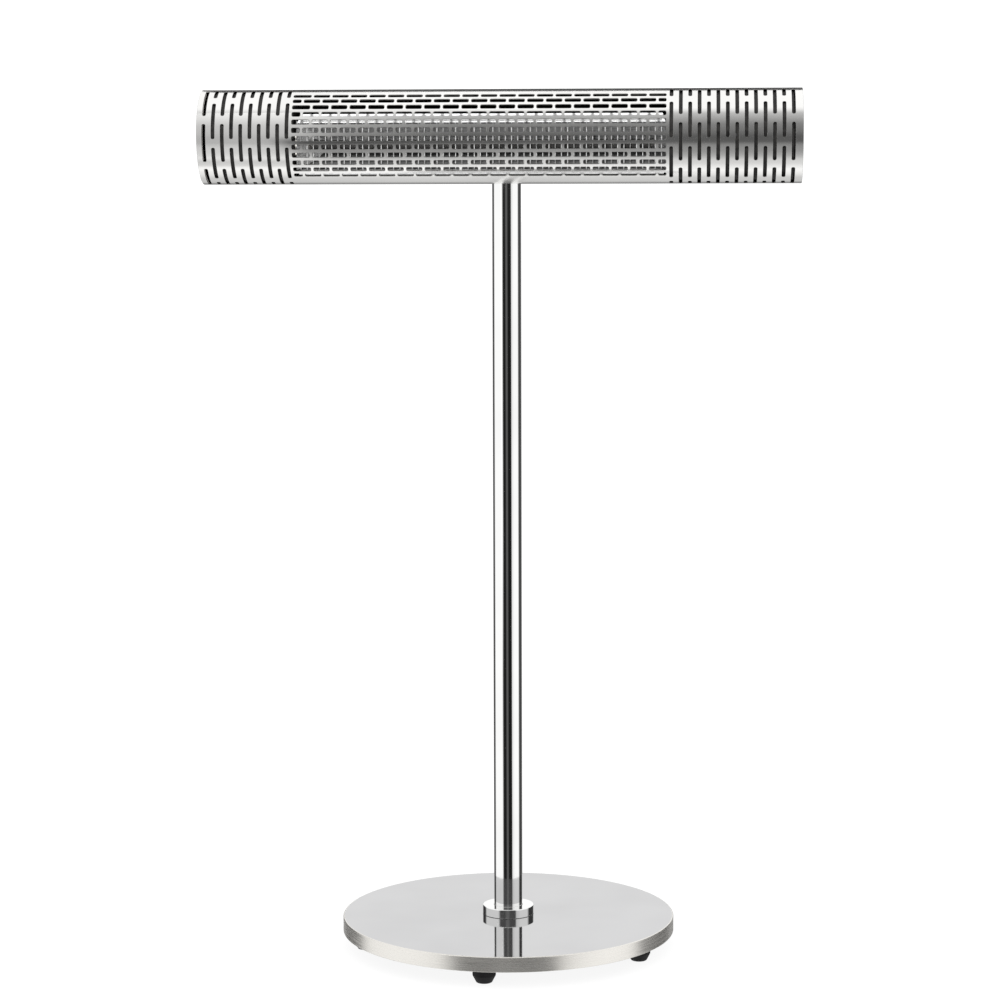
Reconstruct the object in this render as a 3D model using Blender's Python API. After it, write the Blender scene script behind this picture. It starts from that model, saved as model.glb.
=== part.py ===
"""Free-standing infrared patio heater: a slotted head on a telescopic mast with a round base.

Metres, +Z up. The origin is on the floor, on the mast's axis, and the heater faces -Y.
Pieces of the head are modelled about the head's own axis, which runs along X.
"""
from math import cos, hypot, pi, radians, sin

import bmesh
import bpy
from mathutils import Vector

# Driving dimensions
HEAD_LENGTH = 0.781
HEAD_RADIUS = 0.0615
HEAD_BOTTOM = 1.045          # lowest line of the head above the floor, mast fully down
HEAD_REACH = 0.112           # head axis in front of the mast axis
BASE_RADIUS = 0.228
BASE_TOP = 0.042
RIM_BOTTOM = 0.0215
FOOT_CIRCLE = 0.1987
FOOT_COUNT = 5
FIRST_FOOT_ANGLE = radians(-95.6)
FOOT_RADIUS = 0.0155
SOLE_RADIUS = 0.0085
FLANGE_RADIUS = 0.0354       # ring round the foot of the mast
FLANGE_HEIGHT = 0.0122
LOWER_TUBE_RADIUS = 0.0195
MIDDLE_TUBE_RADIUS = 0.0160
UPPER_TUBE_RADIUS = 0.0125
TUBE_WALL = 0.0015
GAP = 0.0003                 # clearance between two pieces that touch

# Head
HEAD_Z = HEAD_BOTTOM + HEAD_RADIUS
SHELL_WALL = 0.0012
SHELL_INSIDE = HEAD_RADIUS - SHELL_WALL
SHELL_CELLS = 36             # flats round the shell, one of them facing straight ahead
CELL_ANGLE = 2 * pi / SHELL_CELLS
CENTRE_ZONE = (-0.264, 0.216)
CENTRE_WINDOWS = 4
WINDOW_BRIDGE = 0.012
END_SLOT_WIDTH = 0.008
LEFT_SLOTS = (-0.366, -0.324, -0.282)
RIGHT_SLOTS = (0.237, 0.279, 0.321, 0.363)
CAP_RADIUS = 0.0597
CAP_INSIDE = 0.3825          # inner face of each end cap, from the head's middle
CAP_OUTSIDE = 0.3855
CAP_EDGE = 0.3900

# Tilt joint, from the head axis
PIVOT_REACH = 0.082
EAR_RADIUS = 0.010
EAR_INSIDE = 0.0063
EAR_THICKNESS = 0.003
BOLT_RADIUS = 0.004
BOLT_HOLE_RADIUS = 0.0043
KNOB_RADIUS = 0.0128
SADDLE_INSIDE = HEAD_RADIUS + GAP
SADDLE_OUTSIDE = SADDLE_INSIDE + 0.003
SADDLE_HALF_WIDTH = 0.030
SADDLE_CELLS = 7
BACKING_CELLS = 5
SCREW_X = 0.020
SCREW_ANGLE = 2 * CELL_ANGLE

# Lamp and reflector, from the head axis
LAMP_Y = -0.015
LAMP_Z = -0.011
LAMP_RADIUS = 0.0075
LAMP_BORE = 0.0062
LAMP_ENDS = (-0.2497, 0.2017)
MOUTH_Y = -0.036
MOUTH_HALF_HEIGHT = 0.030
TROUGH_DEPTH = 0.032
BACK_SHARE = 0.93                # how much of the trough's height its outer face takes
LAMP_CUT = 0.300                 # half the length of a cutter along the lamp
SHEET = 0.001
FLANGE = 0.005
TROUGH_ENDS = (-0.262, 0.214)    # along X at the mouth
TROUGH_SLOPES = (1.0, -0.8)      # how far each end leans inwards per metre of depth
GUARD_Y = -0.0380
GUARD_RUNGS = 20
BULKHEADS = (-0.2665, 0.2175)    # faces that look at the lamp
HOLDER_REACH = (0.0115, 0.0082)  # how far each lamp holder stands out from its bulkhead
HOUSING_RADIUS = 0.0575
HOUSING_WALL = 0.0012
HOUSING_END = 0.3790
SMALL_SCREW_RADIUS = 0.0025
SCREW_HOLE_RADIUS = 0.0028
BOARD_FRONT = 0.0117             # the control board's front face
BOARD_THICKNESS = 0.0016
RECEIVER_X = 0.303
GLAND_X = 0.262
GLAND_BORE = 0.0040

# Switch in the right end cap
SWITCH_PIVOT_X = 0.3835
SWITCH_BACK = 0.366
SWITCH_HALF = (0.0110, 0.0065)
SWITCH_CAVITY_HALF = (0.0098, 0.0053)
SWITCH_BEZEL_HALF = (0.0135, 0.0090)
ROCKER_TIP = radians(9)

# Mast, heights above the floor
TUBE_FOOT = BASE_TOP + GAP
LOWER_TUBE_TOP = 1.0580
LOWER_RING = (1.0490, 1.0700)
MIDDLE_TUBE = (0.4000, 1.0830)
UPPER_RING = (1.0730, 1.0935)
UPPER_TUBE = (0.4600, 1.1257)
YOKE = (1.0965, 1.1340)
YOKE_RADIUS = 0.0175
TONGUE_HALF_WIDTH = 0.006
SWIVEL_SCREW_Z = 1.1180
SWIVEL_SCREW_RADIUS = 0.003
BOLT_CUT = 0.020                 # half the length of a cutter for the tilt bolt's holes

TUBE_SIDES = 32
HIDDEN_SIDES = 24
BASE_SIDES = 64
BALLAST_SIDES = 48
SMALL_SIDES = 16
KNOB_SIDES = 36

ALONG_X = (0, pi / 2, 0)         # turns a local +Z onto +X
ALONG_MINUS_X = (0, -pi / 2, 0)
ALONG_Y = (-pi / 2, 0, 0)        # turns a local +Z onto +Y


# Materials ---------------------------------------------------------------------------------

FINISHES = {
    "polished_steel": ((0.80, 0.80, 0.80), 1.0, 0.08),
    "satin_steel": ((0.62, 0.60, 0.57), 1.0, 0.32),
    "black_rubber": ((0.015, 0.015, 0.015), 0.0, 0.75),
    "black_plastic": ((0.02, 0.02, 0.02), 0.0, 0.45),
    "bush_plastic": ((0.55, 0.55, 0.52), 0.0, 0.5),
    "painted_ballast": ((0.05, 0.05, 0.05), 0.0, 0.6),
    "zinc_steel": ((0.55, 0.56, 0.58), 1.0, 0.35),
    "bright_aluminium": ((0.85, 0.85, 0.86), 1.0, 0.15),
    "blackened_steel": ((0.03, 0.03, 0.03), 0.6, 0.55),
    "quartz": ((0.90, 0.70, 0.55), 0.0, 0.05),
    "carbon": ((0.06, 0.05, 0.05), 0.0, 0.7),
    "ceramic": ((0.85, 0.83, 0.78), 0.0, 0.6),
    "circuit_board": ((0.02, 0.16, 0.07), 0.0, 0.5),
}


def finish(name):
    """The material of that name, made on first use."""
    if name in bpy.data.materials:
        return bpy.data.materials[name]
    colour, metallic, roughness = FINISHES[name]
    made = bpy.data.materials.new(name)
    made.use_nodes = True
    shader = made.node_tree.nodes["Principled BSDF"]
    shader.inputs["Base Color"].default_value = (*colour, 1.0)
    shader.inputs["Metallic"].default_value = metallic
    shader.inputs["Roughness"].default_value = roughness
    return made


# Building tools ----------------------------------------------------------------------------

class Place:
    """Where a piece goes: the empty it is parented to, its location there, and its rotation."""

    def __init__(self, parent, location=(0, 0, 0), rotation=(0, 0, 0)):
        self.parent = parent
        self.location = Vector(location)
        self.rotation = rotation

    def moved(self, offset, rotation=(0, 0, 0)):
        return Place(self.parent, self.location + Vector(offset), rotation)


def remove_everything():
    for old in list(bpy.data.objects):
        bpy.data.objects.remove(old)


def joint_empty(name, parent, location):
    """An empty on a joint's axis, which carries the pieces of one moving body."""
    empty = bpy.data.objects.new(name, None)
    bpy.context.scene.collection.objects.link(empty)
    empty.empty_display_size = 0.03
    empty.parent = parent
    empty.location = location
    return empty


def piece(name, mesh_data, place, material):
    """One solid from a bmesh, shaded smooth over its gentle edges."""
    bmesh.ops.recalc_face_normals(mesh_data, faces=mesh_data.faces)
    mesh = bpy.data.meshes.new(name)
    mesh_data.to_mesh(mesh)
    mesh_data.free()
    mesh.shade_smooth()
    mesh.set_sharp_from_angle(angle=radians(32))
    made = bpy.data.objects.new(name, mesh)
    bpy.context.scene.collection.objects.link(made)
    made.data.materials.append(finish(material))
    made.parent = place.parent
    made.location = place.location
    made.rotation_euler = place.rotation
    return made


def turned(name, outline, place, material, sides=TUBE_SIDES, flutes=None):
    """A solid of revolution about local Z. The outline is a loop of (radius, height) points.

    A point at radius 0 lies on the axis. flutes = (count, depth, radius) waves the points that
    lie outside that radius, as on a hand knob.
    """
    shape = bmesh.new()
    rings = []
    for radius, height in outline:
        if radius == 0:
            rings.append([shape.verts.new((0, 0, height))] * sides)
            continue
        ring = []
        for step in range(sides):
            angle = 2 * pi * (step + 0.5) / sides
            reach = radius
            if flutes and radius > flutes[2]:
                reach += flutes[1] * cos(flutes[0] * angle)
            ring.append(shape.verts.new((reach * cos(angle), reach * sin(angle), height)))
        rings.append(ring)
    for ring, following in zip(rings, rings[1:] + rings[:1]):
        for step in range(sides):
            after = (step + 1) % sides
            corners = [ring[step], ring[after], following[after], following[step]]
            distinct = list(dict.fromkeys(corners))
            if len(distinct) > 2:
                shape.faces.new(distinct)
    return piece(name, shape, place, material)


def sleeve(name, outer, inner, bottom, top, place, material, sides=TUBE_SIDES):
    outline = [(outer, bottom), (outer, top), (inner, top), (inner, bottom)]
    return turned(name, outline, place, material, sides)


def rod(name, radius, bottom, top, place, material, sides=SMALL_SIDES):
    outline = [(0, bottom), (radius, bottom), (radius, top), (0, top)]
    return turned(name, outline, place, material, sides)


def extruded(name, outline, low, high, place, material):
    """A prism along X from an outline of (y, z) points.

    low and high are its ends: a number, or a function of y for an end that leans.
    """
    shape = bmesh.new()
    ends = []
    for end in (low, high):
        reach = end if callable(end) else (lambda y, fixed=end: fixed)
        ends.append([shape.verts.new((reach(y), y, z)) for y, z in outline])
    shape.faces.new(ends[0])
    shape.faces.new(ends[1])
    count = len(outline)
    for step in range(count):
        after = (step + 1) % count
        shape.faces.new((ends[0][step], ends[0][after], ends[1][after], ends[1][step]))
    return piece(name, shape, place, material)


def block(name, low, high, place, material):
    """A box between two corners."""
    outline = [(low[1], low[2]), (high[1], low[2]), (high[1], high[2]), (low[1], high[2])]
    return extruded(name, outline, low[0], high[0], place, material)


def pierced_sheet(name, columns, rows, is_open, point, closed_round, place, material):
    """A sheet with windows, from a grid of cells between the cut lines columns and rows.

    point(column, row, side) gives a corner, where side is 0 on one face and 1 on the other.
    is_open(i, j) says that the cell after column line i and row line j is a window.
    """
    shape = bmesh.new()
    row_cells = len(rows) if closed_round else len(rows) - 1
    corner = {}

    def vertex(i, j, side):
        key = (i, j % len(rows), side)
        if key not in corner:
            corner[key] = shape.verts.new(point(columns[i], rows[key[1]], side))
        return corner[key]

    def solid(i, j):
        if closed_round:
            j %= row_cells
        inside = 0 <= i < len(columns) - 1 and 0 <= j < row_cells
        return inside and not is_open(i, j)

    for i in range(len(columns) - 1):
        for j in range(row_cells):
            if not solid(i, j):
                continue
            cell = [(i, j), (i + 1, j), (i + 1, j + 1), (i, j + 1)]
            for side in (0, 1):
                shape.faces.new([vertex(*at, side) for at in cell])
            borders = [(solid(i, j - 1), 0, 1), (solid(i + 1, j), 1, 2),
                       (solid(i, j + 1), 2, 3), (solid(i - 1, j), 3, 0)]
            for neighbour, first, second in borders:
                if not neighbour:
                    start, stop = cell[first], cell[second]
                    wall = (vertex(*start, 0), vertex(*stop, 0), vertex(*stop, 1), vertex(*start, 1))
                    shape.faces.new(wall)
    return piece(name, shape, place, material)


def combine(target, tool, operation="DIFFERENCE"):
    """Cuts a closed tool out of the target, or joins it to the target; the tool is then hidden."""
    modifier = target.modifiers.new(operation.title(), "BOOLEAN")
    modifier.operation = operation
    modifier.object = tool
    tool.hide_render = True
    tool.display_type = "WIRE"


def arc(radius, centre, start, stop, steps):
    """Points on an arc about a centre, in the plane of the outline."""
    angles = [start + (stop - start) * step / steps for step in range(steps + 1)]
    return [(centre[0] + radius * cos(a), centre[1] + radius * sin(a)) for a in angles]


# Base and fixed mast -----------------------------------------------------------------------

COVER_WALL = 0.0015
COVER_EDGE = 0.0015
CENTRE_HOLE = 0.0070
BALLAST_TOP = BASE_TOP - COVER_WALL - GAP
BALLAST_THICKNESS = 0.012
BALLAST_BOTTOM = BALLAST_TOP - BALLAST_THICKNESS
COUNTERBORE_RADIUS = 0.0155
COUNTERBORE_TOP = BALLAST_BOTTOM + 0.0055
STUD_RADIUS = 0.003
STUD_LENGTH = 0.006
SOLE_ROUNDING = 0.0018
FOOT_SHOULDER = 0.010        # height from which the foot is at its full width
HOLE_RUN_OUT = 0.002         # how far a cutter reaches past the face it starts from
PLUG_LENGTH = 0.040
CENTRE_BOLT_RADIUS = 0.006
HEXAGON_RADIUS = 0.0109
HEXAGON_HEIGHT = 0.0075
BUSH_LENGTH = 0.038          # of a guide bush, below the mouth of its tube
COLLAR = 0.0033              # how far bush and ferrule stand above that mouth
FERRULE_WALL = 0.0024
LOCK_RING_WALL = 0.003


def build_base(stand):
    ground = Place(stand)
    inner = BASE_RADIUS - COVER_WALL
    edge_centre = (BASE_RADIUS - COVER_EDGE, BASE_TOP - COVER_EDGE)
    cover = arc(COVER_EDGE, edge_centre, pi / 2, 0, 3)
    cover += [(BASE_RADIUS, RIM_BOTTOM), (inner, RIM_BOTTOM), (inner, BASE_TOP - COVER_WALL)]
    cover += [(CENTRE_HOLE, BASE_TOP - COVER_WALL), (CENTRE_HOLE, BASE_TOP)]
    turned("base_cover", cover, ground, "polished_steel", BASE_SIDES)

    rim = inner - 0.001
    plate = [(CENTRE_HOLE, BALLAST_TOP), (rim, BALLAST_TOP), (rim, BALLAST_BOTTOM),
             (COUNTERBORE_RADIUS, BALLAST_BOTTOM), (COUNTERBORE_RADIUS, COUNTERBORE_TOP),
             (CENTRE_HOLE, COUNTERBORE_TOP)]
    ballast = turned("ballast_plate", plate, ground, "painted_ballast", BALLAST_SIDES)

    foot_top = BALLAST_BOTTOM - GAP
    stud_top = foot_top + STUD_LENGTH
    foot = [(0, 0), *arc(SOLE_ROUNDING, (SOLE_RADIUS, SOLE_ROUNDING), -pi / 2, 0, 3),
            (FOOT_RADIUS, FOOT_SHOULDER), (FOOT_RADIUS, foot_top), (STUD_RADIUS, foot_top),
            (STUD_RADIUS, stud_top), (0, stud_top)]
    for number in range(FOOT_COUNT):
        angle = FIRST_FOOT_ANGLE + 2 * pi * number / FOOT_COUNT
        spot = ground.moved((FOOT_CIRCLE * cos(angle), FOOT_CIRCLE * sin(angle), 0))
        turned(f"foot_{number + 1}", foot, spot, "black_rubber", SMALL_SIDES)
        hole = rod(f"stud_hole_{number + 1}", STUD_RADIUS + GAP, BALLAST_BOTTOM - HOLE_RUN_OUT,
                   stud_top + 2 * GAP, spot, "black_rubber")
        combine(ballast, hole)


def build_mast_foot(stand):
    ground = Place(stand)
    bore = LOWER_TUBE_RADIUS + GAP
    flange_top = TUBE_FOOT + FLANGE_HEIGHT
    chamfer = 0.0012
    flange = [(bore, TUBE_FOOT), (FLANGE_RADIUS - chamfer / 2, TUBE_FOOT),
              (FLANGE_RADIUS, TUBE_FOOT + chamfer / 2), (FLANGE_RADIUS, flange_top - chamfer),
              (FLANGE_RADIUS - chamfer, flange_top), (bore, flange_top)]
    turned("pole_flange", flange, ground, "polished_steel")

    plug_radius = LOWER_TUBE_RADIUS - TUBE_WALL - GAP
    plug_top = TUBE_FOOT + PLUG_LENGTH
    sleeve("tube_foot_plug", plug_radius, CENTRE_BOLT_RADIUS + GAP, TUBE_FOOT, plug_top, ground,
           "zinc_steel", HIDDEN_SIDES)

    washer_top = COUNTERBORE_TOP - GAP
    washer_bottom = washer_top - 0.0025
    sleeve("bolt_washer", 0.0125, CENTRE_BOLT_RADIUS + 0.0005, washer_bottom, washer_top, ground,
           "zinc_steel", SMALL_SIDES)

    head_top = washer_bottom - GAP
    head_bottom = head_top - HEXAGON_HEIGHT
    bolt = rod("centre_bolt", CENTRE_BOLT_RADIUS, head_bottom + HEXAGON_HEIGHT / 2, plug_top - 0.007,
               ground, "zinc_steel")
    hexagon = rod("bolt_hexagon", HEXAGON_RADIUS, head_bottom, head_top, ground, "zinc_steel", 6)
    combine(bolt, hexagon, "UNION")


def build_lower_mast(stand, lower_ring):
    ground = Place(stand)
    inside = LOWER_TUBE_RADIUS - TUBE_WALL
    sleeve("lower_tube", LOWER_TUBE_RADIUS, inside, TUBE_FOOT, LOWER_TUBE_TOP, ground, "polished_steel")
    stage_mouth(ground, Place(lower_ring), "lower", LOWER_TUBE_RADIUS, MIDDLE_TUBE_RADIUS,
                LOWER_TUBE_TOP, LOWER_RING)


def stage_mouth(fixed, turning, prefix, tube_radius, inner_radius, tube_top, ring_heights):
    """The top of one mast tube: a guide bush in its mouth, a ferrule round it and a lock ring."""
    ring_bottom, ring_top = ring_heights
    bore = inner_radius + GAP
    collar_top = tube_top + COLLAR
    bush_radius = tube_radius - TUBE_WALL - GAP
    bush_bottom = tube_top - BUSH_LENGTH
    bush = [(bush_radius, bush_bottom), (bush_radius, tube_top + GAP), (tube_radius, tube_top + GAP),
            (tube_radius, collar_top), (bore, collar_top), (bore, bush_bottom)]
    guide_name = "lower_guide_bush" if prefix == "lower" else "middle_guide_bush"
    turned(guide_name, bush, fixed, "bush_plastic", HIDDEN_SIDES)

    ferrule = tube_radius + GAP
    ferrule_outside = ferrule + FERRULE_WALL
    sleeve(f"{prefix}_ferrule", ferrule_outside, ferrule, ring_bottom + 0.001, collar_top, fixed,
           "zinc_steel", HIDDEN_SIDES)

    ring_bore = ferrule_outside + GAP
    ring_outside = ring_bore + LOCK_RING_WALL
    chamfer = 0.0015
    edge = 0.0006
    ring = [(ring_bore, ring_bottom), (ring_outside - edge, ring_bottom),
            (ring_outside, ring_bottom + edge), (ring_outside, ring_top - chamfer),
            (ring_outside - chamfer, ring_top), (bore, ring_top),
            (bore, collar_top + GAP), (ring_bore, collar_top + GAP)]
    turned(f"{prefix}_lock_ring", ring, turning, "polished_steel")


# Telescopic stages -------------------------------------------------------------------------

def foot_bush(name, tube_bottom, tube_inside, guide_radius, bore, place):
    """The plastic bush at the lower end of a sliding tube, with a spigot inside the tube."""
    spigot = tube_inside - GAP
    spigot_top = tube_bottom + 0.020
    guide_bottom = tube_bottom - 0.012
    outline = [(bore, guide_bottom), (guide_radius, guide_bottom),
               (guide_radius, tube_bottom - GAP), (spigot, tube_bottom - GAP),
               (spigot, spigot_top), (bore, spigot_top)]
    turned(name, outline, place, "bush_plastic", HIDDEN_SIDES)


def build_middle_mast(middle, upper_ring):
    stage = Place(middle)
    inside = MIDDLE_TUBE_RADIUS - TUBE_WALL
    sleeve("middle_tube", MIDDLE_TUBE_RADIUS, inside, *MIDDLE_TUBE, stage, "polished_steel")
    guide_radius = LOWER_TUBE_RADIUS - TUBE_WALL - GAP
    foot_bush("middle_foot_bush", MIDDLE_TUBE[0], inside, guide_radius, 0.010, stage)
    stage_mouth(stage, Place(upper_ring), "upper", MIDDLE_TUBE_RADIUS, UPPER_TUBE_RADIUS,
                MIDDLE_TUBE[1], UPPER_RING)


def build_upper_mast(upper):
    stage = Place(upper)
    inside = UPPER_TUBE_RADIUS - TUBE_WALL
    sleeve("upper_tube", UPPER_TUBE_RADIUS, inside, *UPPER_TUBE, stage, "polished_steel")
    guide_radius = MIDDLE_TUBE_RADIUS - TUBE_WALL - GAP
    foot_bush("upper_foot_bush", UPPER_TUBE[0], inside, guide_radius, 0.007, stage)
    rod("tube_head_plug", inside - GAP, UPPER_TUBE[1] - 0.030, UPPER_TUBE[1], stage, "zinc_steel",
        HIDDEN_SIDES)


# Yoke --------------------------------------------------------------------------------------

def build_yoke(swivel):
    """Pieces about the swivel's empty, which stands at the height of the head axis."""
    turn = Place(swivel)
    bottom, top = (height - HEAD_Z for height in YOKE)
    ceiling = UPPER_TUBE[1] + GAP - HEAD_Z
    bore = UPPER_TUBE_RADIUS + GAP
    rounding = 0.004
    dome = arc(rounding, (YOKE_RADIUS - rounding, top - rounding), 0, pi / 2, 4)
    outline = [(bore, bottom), (YOKE_RADIUS, bottom), *dome, (0, top), (0, ceiling), (bore, ceiling)]
    yoke = turned("yoke", outline, turn, "satin_steel")

    pivot = PIVOT_REACH - HEAD_REACH
    root = -(bore + YOKE_RADIUS) / 2
    nose = arc(EAR_RADIUS, (pivot, 0), pi / 2, 3 * pi / 2, 8)
    tongue = extruded("tongue", nose + [(root, -EAR_RADIUS), (root, EAR_RADIUS)],
                      -TONGUE_HALF_WIDTH, TONGUE_HALF_WIDTH, turn, "satin_steel")
    combine(yoke, tongue, "UNION")
    across = turn.moved((0, pivot, 0), ALONG_X)
    combine(yoke, rod("tongue_hole", BOLT_HOLE_RADIUS, -BOLT_CUT, BOLT_CUT, across, "satin_steel"))

    backwards = turn.moved((0, 0, SWIVEL_SCREW_Z - HEAD_Z), ALONG_Y)
    hole = rod("swivel_screw_hole", SWIVEL_SCREW_RADIUS + GAP, bore - HOLE_RUN_OUT,
               YOKE_RADIUS + HOLE_RUN_OUT, backwards, "satin_steel")
    combine(yoke, hole)
    rod("swivel_screw", SWIVEL_SCREW_RADIUS, bore + GAP / 2, YOKE_RADIUS + 0.0015, backwards,
        "zinc_steel")


# Head bracket ------------------------------------------------------------------------------

def radial(head, x, elevation):
    """A place whose local +Z points backwards from the head axis, raised by the elevation."""
    return head.moved((x, 0, 0), (elevation - pi / 2, 0, 0))


def curved_plate(name, outside, inside, cells, head, material):
    """A plate bent round the back of the shell, in flats that match the shell's."""
    half = cells * CELL_ANGLE / 2
    outline = arc(outside, (0, 0), -half, half, cells) + arc(inside, (0, 0), half, -half, cells)
    return extruded(name, outline, -SADDLE_HALF_WIDTH, SADDLE_HALF_WIDTH, head, material)


def screw_places(head):
    places = []
    for x in (-SCREW_X, SCREW_X):
        places += [radial(head, x, angle) for angle in (-SCREW_ANGLE, SCREW_ANGLE)]
    return places


def build_bracket(head, shell):
    """The saddle with its ears, the backing plate inside the shell and the four screws."""
    bracket = curved_plate("head_bracket", SADDLE_OUTSIDE, SADDLE_INSIDE, SADDLE_CELLS, head,
                           "satin_steel")
    middle = (SADDLE_OUTSIDE + SADDLE_INSIDE) / 2
    spread = radians(16)
    root_y, root_z = middle * cos(spread), middle * sin(spread)
    nose = arc(EAR_RADIUS, (PIVOT_REACH, 0), -pi / 2, pi / 2, 8)
    outline = nose + [(root_y, root_z), (middle, 0), (root_y, -root_z)]
    for side, low in (("left", -EAR_INSIDE - EAR_THICKNESS), ("right", EAR_INSIDE)):
        ear = extruded(f"ear_{side}", outline, low, low + EAR_THICKNESS, head, "satin_steel")
        combine(bracket, ear, "UNION")
    across = head.moved((0, PIVOT_REACH, 0), ALONG_X)
    combine(bracket, rod("ear_holes", BOLT_HOLE_RADIUS, -BOLT_CUT, BOLT_CUT, across, "satin_steel"))

    backing_outside = SHELL_INSIDE - GAP
    backing_inside = backing_outside - 0.003
    backing = curved_plate("backing_plate", backing_outside, backing_inside, BACKING_CELLS, head,
                           "zinc_steel")
    seat = SADDLE_OUTSIDE + GAP
    tip = backing_inside - 0.001
    screw_top = seat + 0.0028
    screw = [(0, tip), (SMALL_SCREW_RADIUS, tip), (SMALL_SCREW_RADIUS, seat), (0.0047, seat),
             (0.0047, seat + 0.0014), (0.0034, screw_top), (0, screw_top)]
    for number, spot in enumerate(screw_places(head), start=1):
        turned(f"bracket_screw_{number}", screw, spot, "zinc_steel", SMALL_SIDES)
        hole = rod(f"screw_hole_{number}", SCREW_HOLE_RADIUS, tip - 3 * HOLE_RUN_OUT,
                   seat + HOLE_RUN_OUT, spot, "zinc_steel")
        for target in (bracket, shell, backing):
            combine(target, hole)


def build_tilt_bolt(head, knob):
    """A carriage bolt from left to right through ears and tongue, its washer and its hand knob."""
    across = head.moved((0, PIVOT_REACH, 0), ALONG_X)
    ear_outside = EAR_INSIDE + EAR_THICKNESS
    seat = -ear_outside - GAP
    bolt_end = 0.0225
    head_radius = 0.008
    bolt = [(0, bolt_end), (BOLT_RADIUS, bolt_end), (BOLT_RADIUS, seat), (head_radius, seat),
            (head_radius, seat - 0.0015), (0.0060, seat - 0.0040), (0, seat - 0.0046)]
    turned("tilt_bolt", bolt, across, "zinc_steel", SMALL_SIDES)
    washer_bottom = ear_outside + GAP
    washer_top = washer_bottom + 0.0016
    sleeve("tilt_washer", head_radius, BOLT_HOLE_RADIUS, washer_bottom, washer_top, across,
           "zinc_steel", SMALL_SIDES)
    low = washer_top + GAP
    collar = low + 0.0035
    socket = bolt_end + GAP
    grip = [(BOLT_HOLE_RADIUS, low), (0.0065, low), (0.0065, collar), (0.0110, collar),
            (KNOB_RADIUS, collar + 0.0015), (KNOB_RADIUS, collar + 0.0090), (0.0112, collar + 0.0110),
            (0, collar + 0.0115), (0, socket), (BOLT_HOLE_RADIUS, socket)]
    turned("tilt_knob", grip, Place(knob, rotation=ALONG_X), "black_plastic", KNOB_SIDES,
           flutes=(6, 0.0009, 0.010))


# Head shell and caps -----------------------------------------------------------------------

def shell_columns():
    """Cut lines along X with the kind of opening that follows each: slot, window or none."""
    half = END_SLOT_WIDTH / 2
    spans = [(x - half, x + half, "slot") for x in LEFT_SLOTS + RIGHT_SLOTS]
    pitch = (CENTRE_ZONE[1] - CENTRE_ZONE[0]) / CENTRE_WINDOWS
    for number in range(CENTRE_WINDOWS):
        start = CENTRE_ZONE[0] + number * pitch + WINDOW_BRIDGE / 2
        spans.append((start, start + pitch - WINDOW_BRIDGE, "window"))
    spans.sort()
    lines = [-HEAD_LENGTH / 2]
    kinds = []
    for low, high, kind in spans:
        lines += [low, high]
        kinds += ["none", kind]
    return lines + [HEAD_LENGTH / 2], kinds + ["none"]


def build_shell(head):
    columns, kinds = shell_columns()
    rows = [(number - 0.5) * CELL_ANGLE for number in range(SHELL_CELLS)]
    slot_numbers = {}
    for column, kind in enumerate(kinds):
        if kind == "slot":
            slot_numbers[column] = len(slot_numbers)

    def is_open(column, row):
        """Angle 0 is the front; windows take every second flat, slots five flats in every six."""
        flat = (row + SHELL_CELLS // 2) % SHELL_CELLS - SHELL_CELLS // 2
        if kinds[column] == "window":
            return flat % 2 == 0 and abs(flat) <= 10
        if kinds[column] == "slot":
            bridge = 3 if slot_numbers[column] % 2 == 0 else 0
            return flat % 6 != bridge and abs(flat) <= 11
        return False

    def corner(x, angle, side):
        radius = SHELL_INSIDE if side else HEAD_RADIUS
        return (x, -radius * cos(angle), radius * sin(angle))

    return pierced_sheet("slotted_shell", columns, rows, is_open, corner, True, head, "polished_steel")


def build_caps(head):
    """Recessed pan-shaped caps; the right one takes the switch."""
    depth = CAP_EDGE - CAP_INSIDE
    web = CAP_OUTSIDE - CAP_INSIDE
    brim = CAP_RADIUS - 0.0017
    pan = [(0, 0), (CAP_RADIUS, 0), (CAP_RADIUS, depth), (brim, depth), (brim, web), (0, web)]
    turned("end_cap_left", pan, head.moved((-CAP_INSIDE, 0, 0), ALONG_MINUS_X), "satin_steel")
    right = turned("end_cap_right", pan, head.moved((CAP_INSIDE, 0, 0), ALONG_X), "satin_steel")
    half_y = SWITCH_HALF[0] + GAP
    half_z = SWITCH_HALF[1] + GAP
    cutout = block("switch_cutout", (CAP_INSIDE - HOLE_RUN_OUT, -half_y, -half_z),
                   (CAP_OUTSIDE + HOLE_RUN_OUT, half_y, half_z), head, "satin_steel")
    combine(right, cutout)


# Inside the head ---------------------------------------------------------------------------

def trough_y(height):
    """The reflector's parabola: depth along Y at a height from the lamp's level."""
    return MOUTH_Y + TROUGH_DEPTH * (1 - (height / MOUTH_HALF_HEIGHT) ** 2)


def trough_back(height, offset):
    """A point behind the parabola by the offset, square to its surface."""
    slope = 2 * TROUGH_DEPTH * height / MOUTH_HALF_HEIGHT ** 2
    length = hypot(1, slope)
    return (trough_y(height) + offset / length, LAMP_Z + height + offset * slope / length)


def trough_end(side, offset):
    """How far along X the trough's leaning end lies at a depth y, moved out by the offset."""
    outwards = -offset if side == 0 else offset
    return lambda y: TROUGH_ENDS[side] + outwards + TROUGH_SLOPES[side] * (y - MOUTH_Y)


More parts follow.
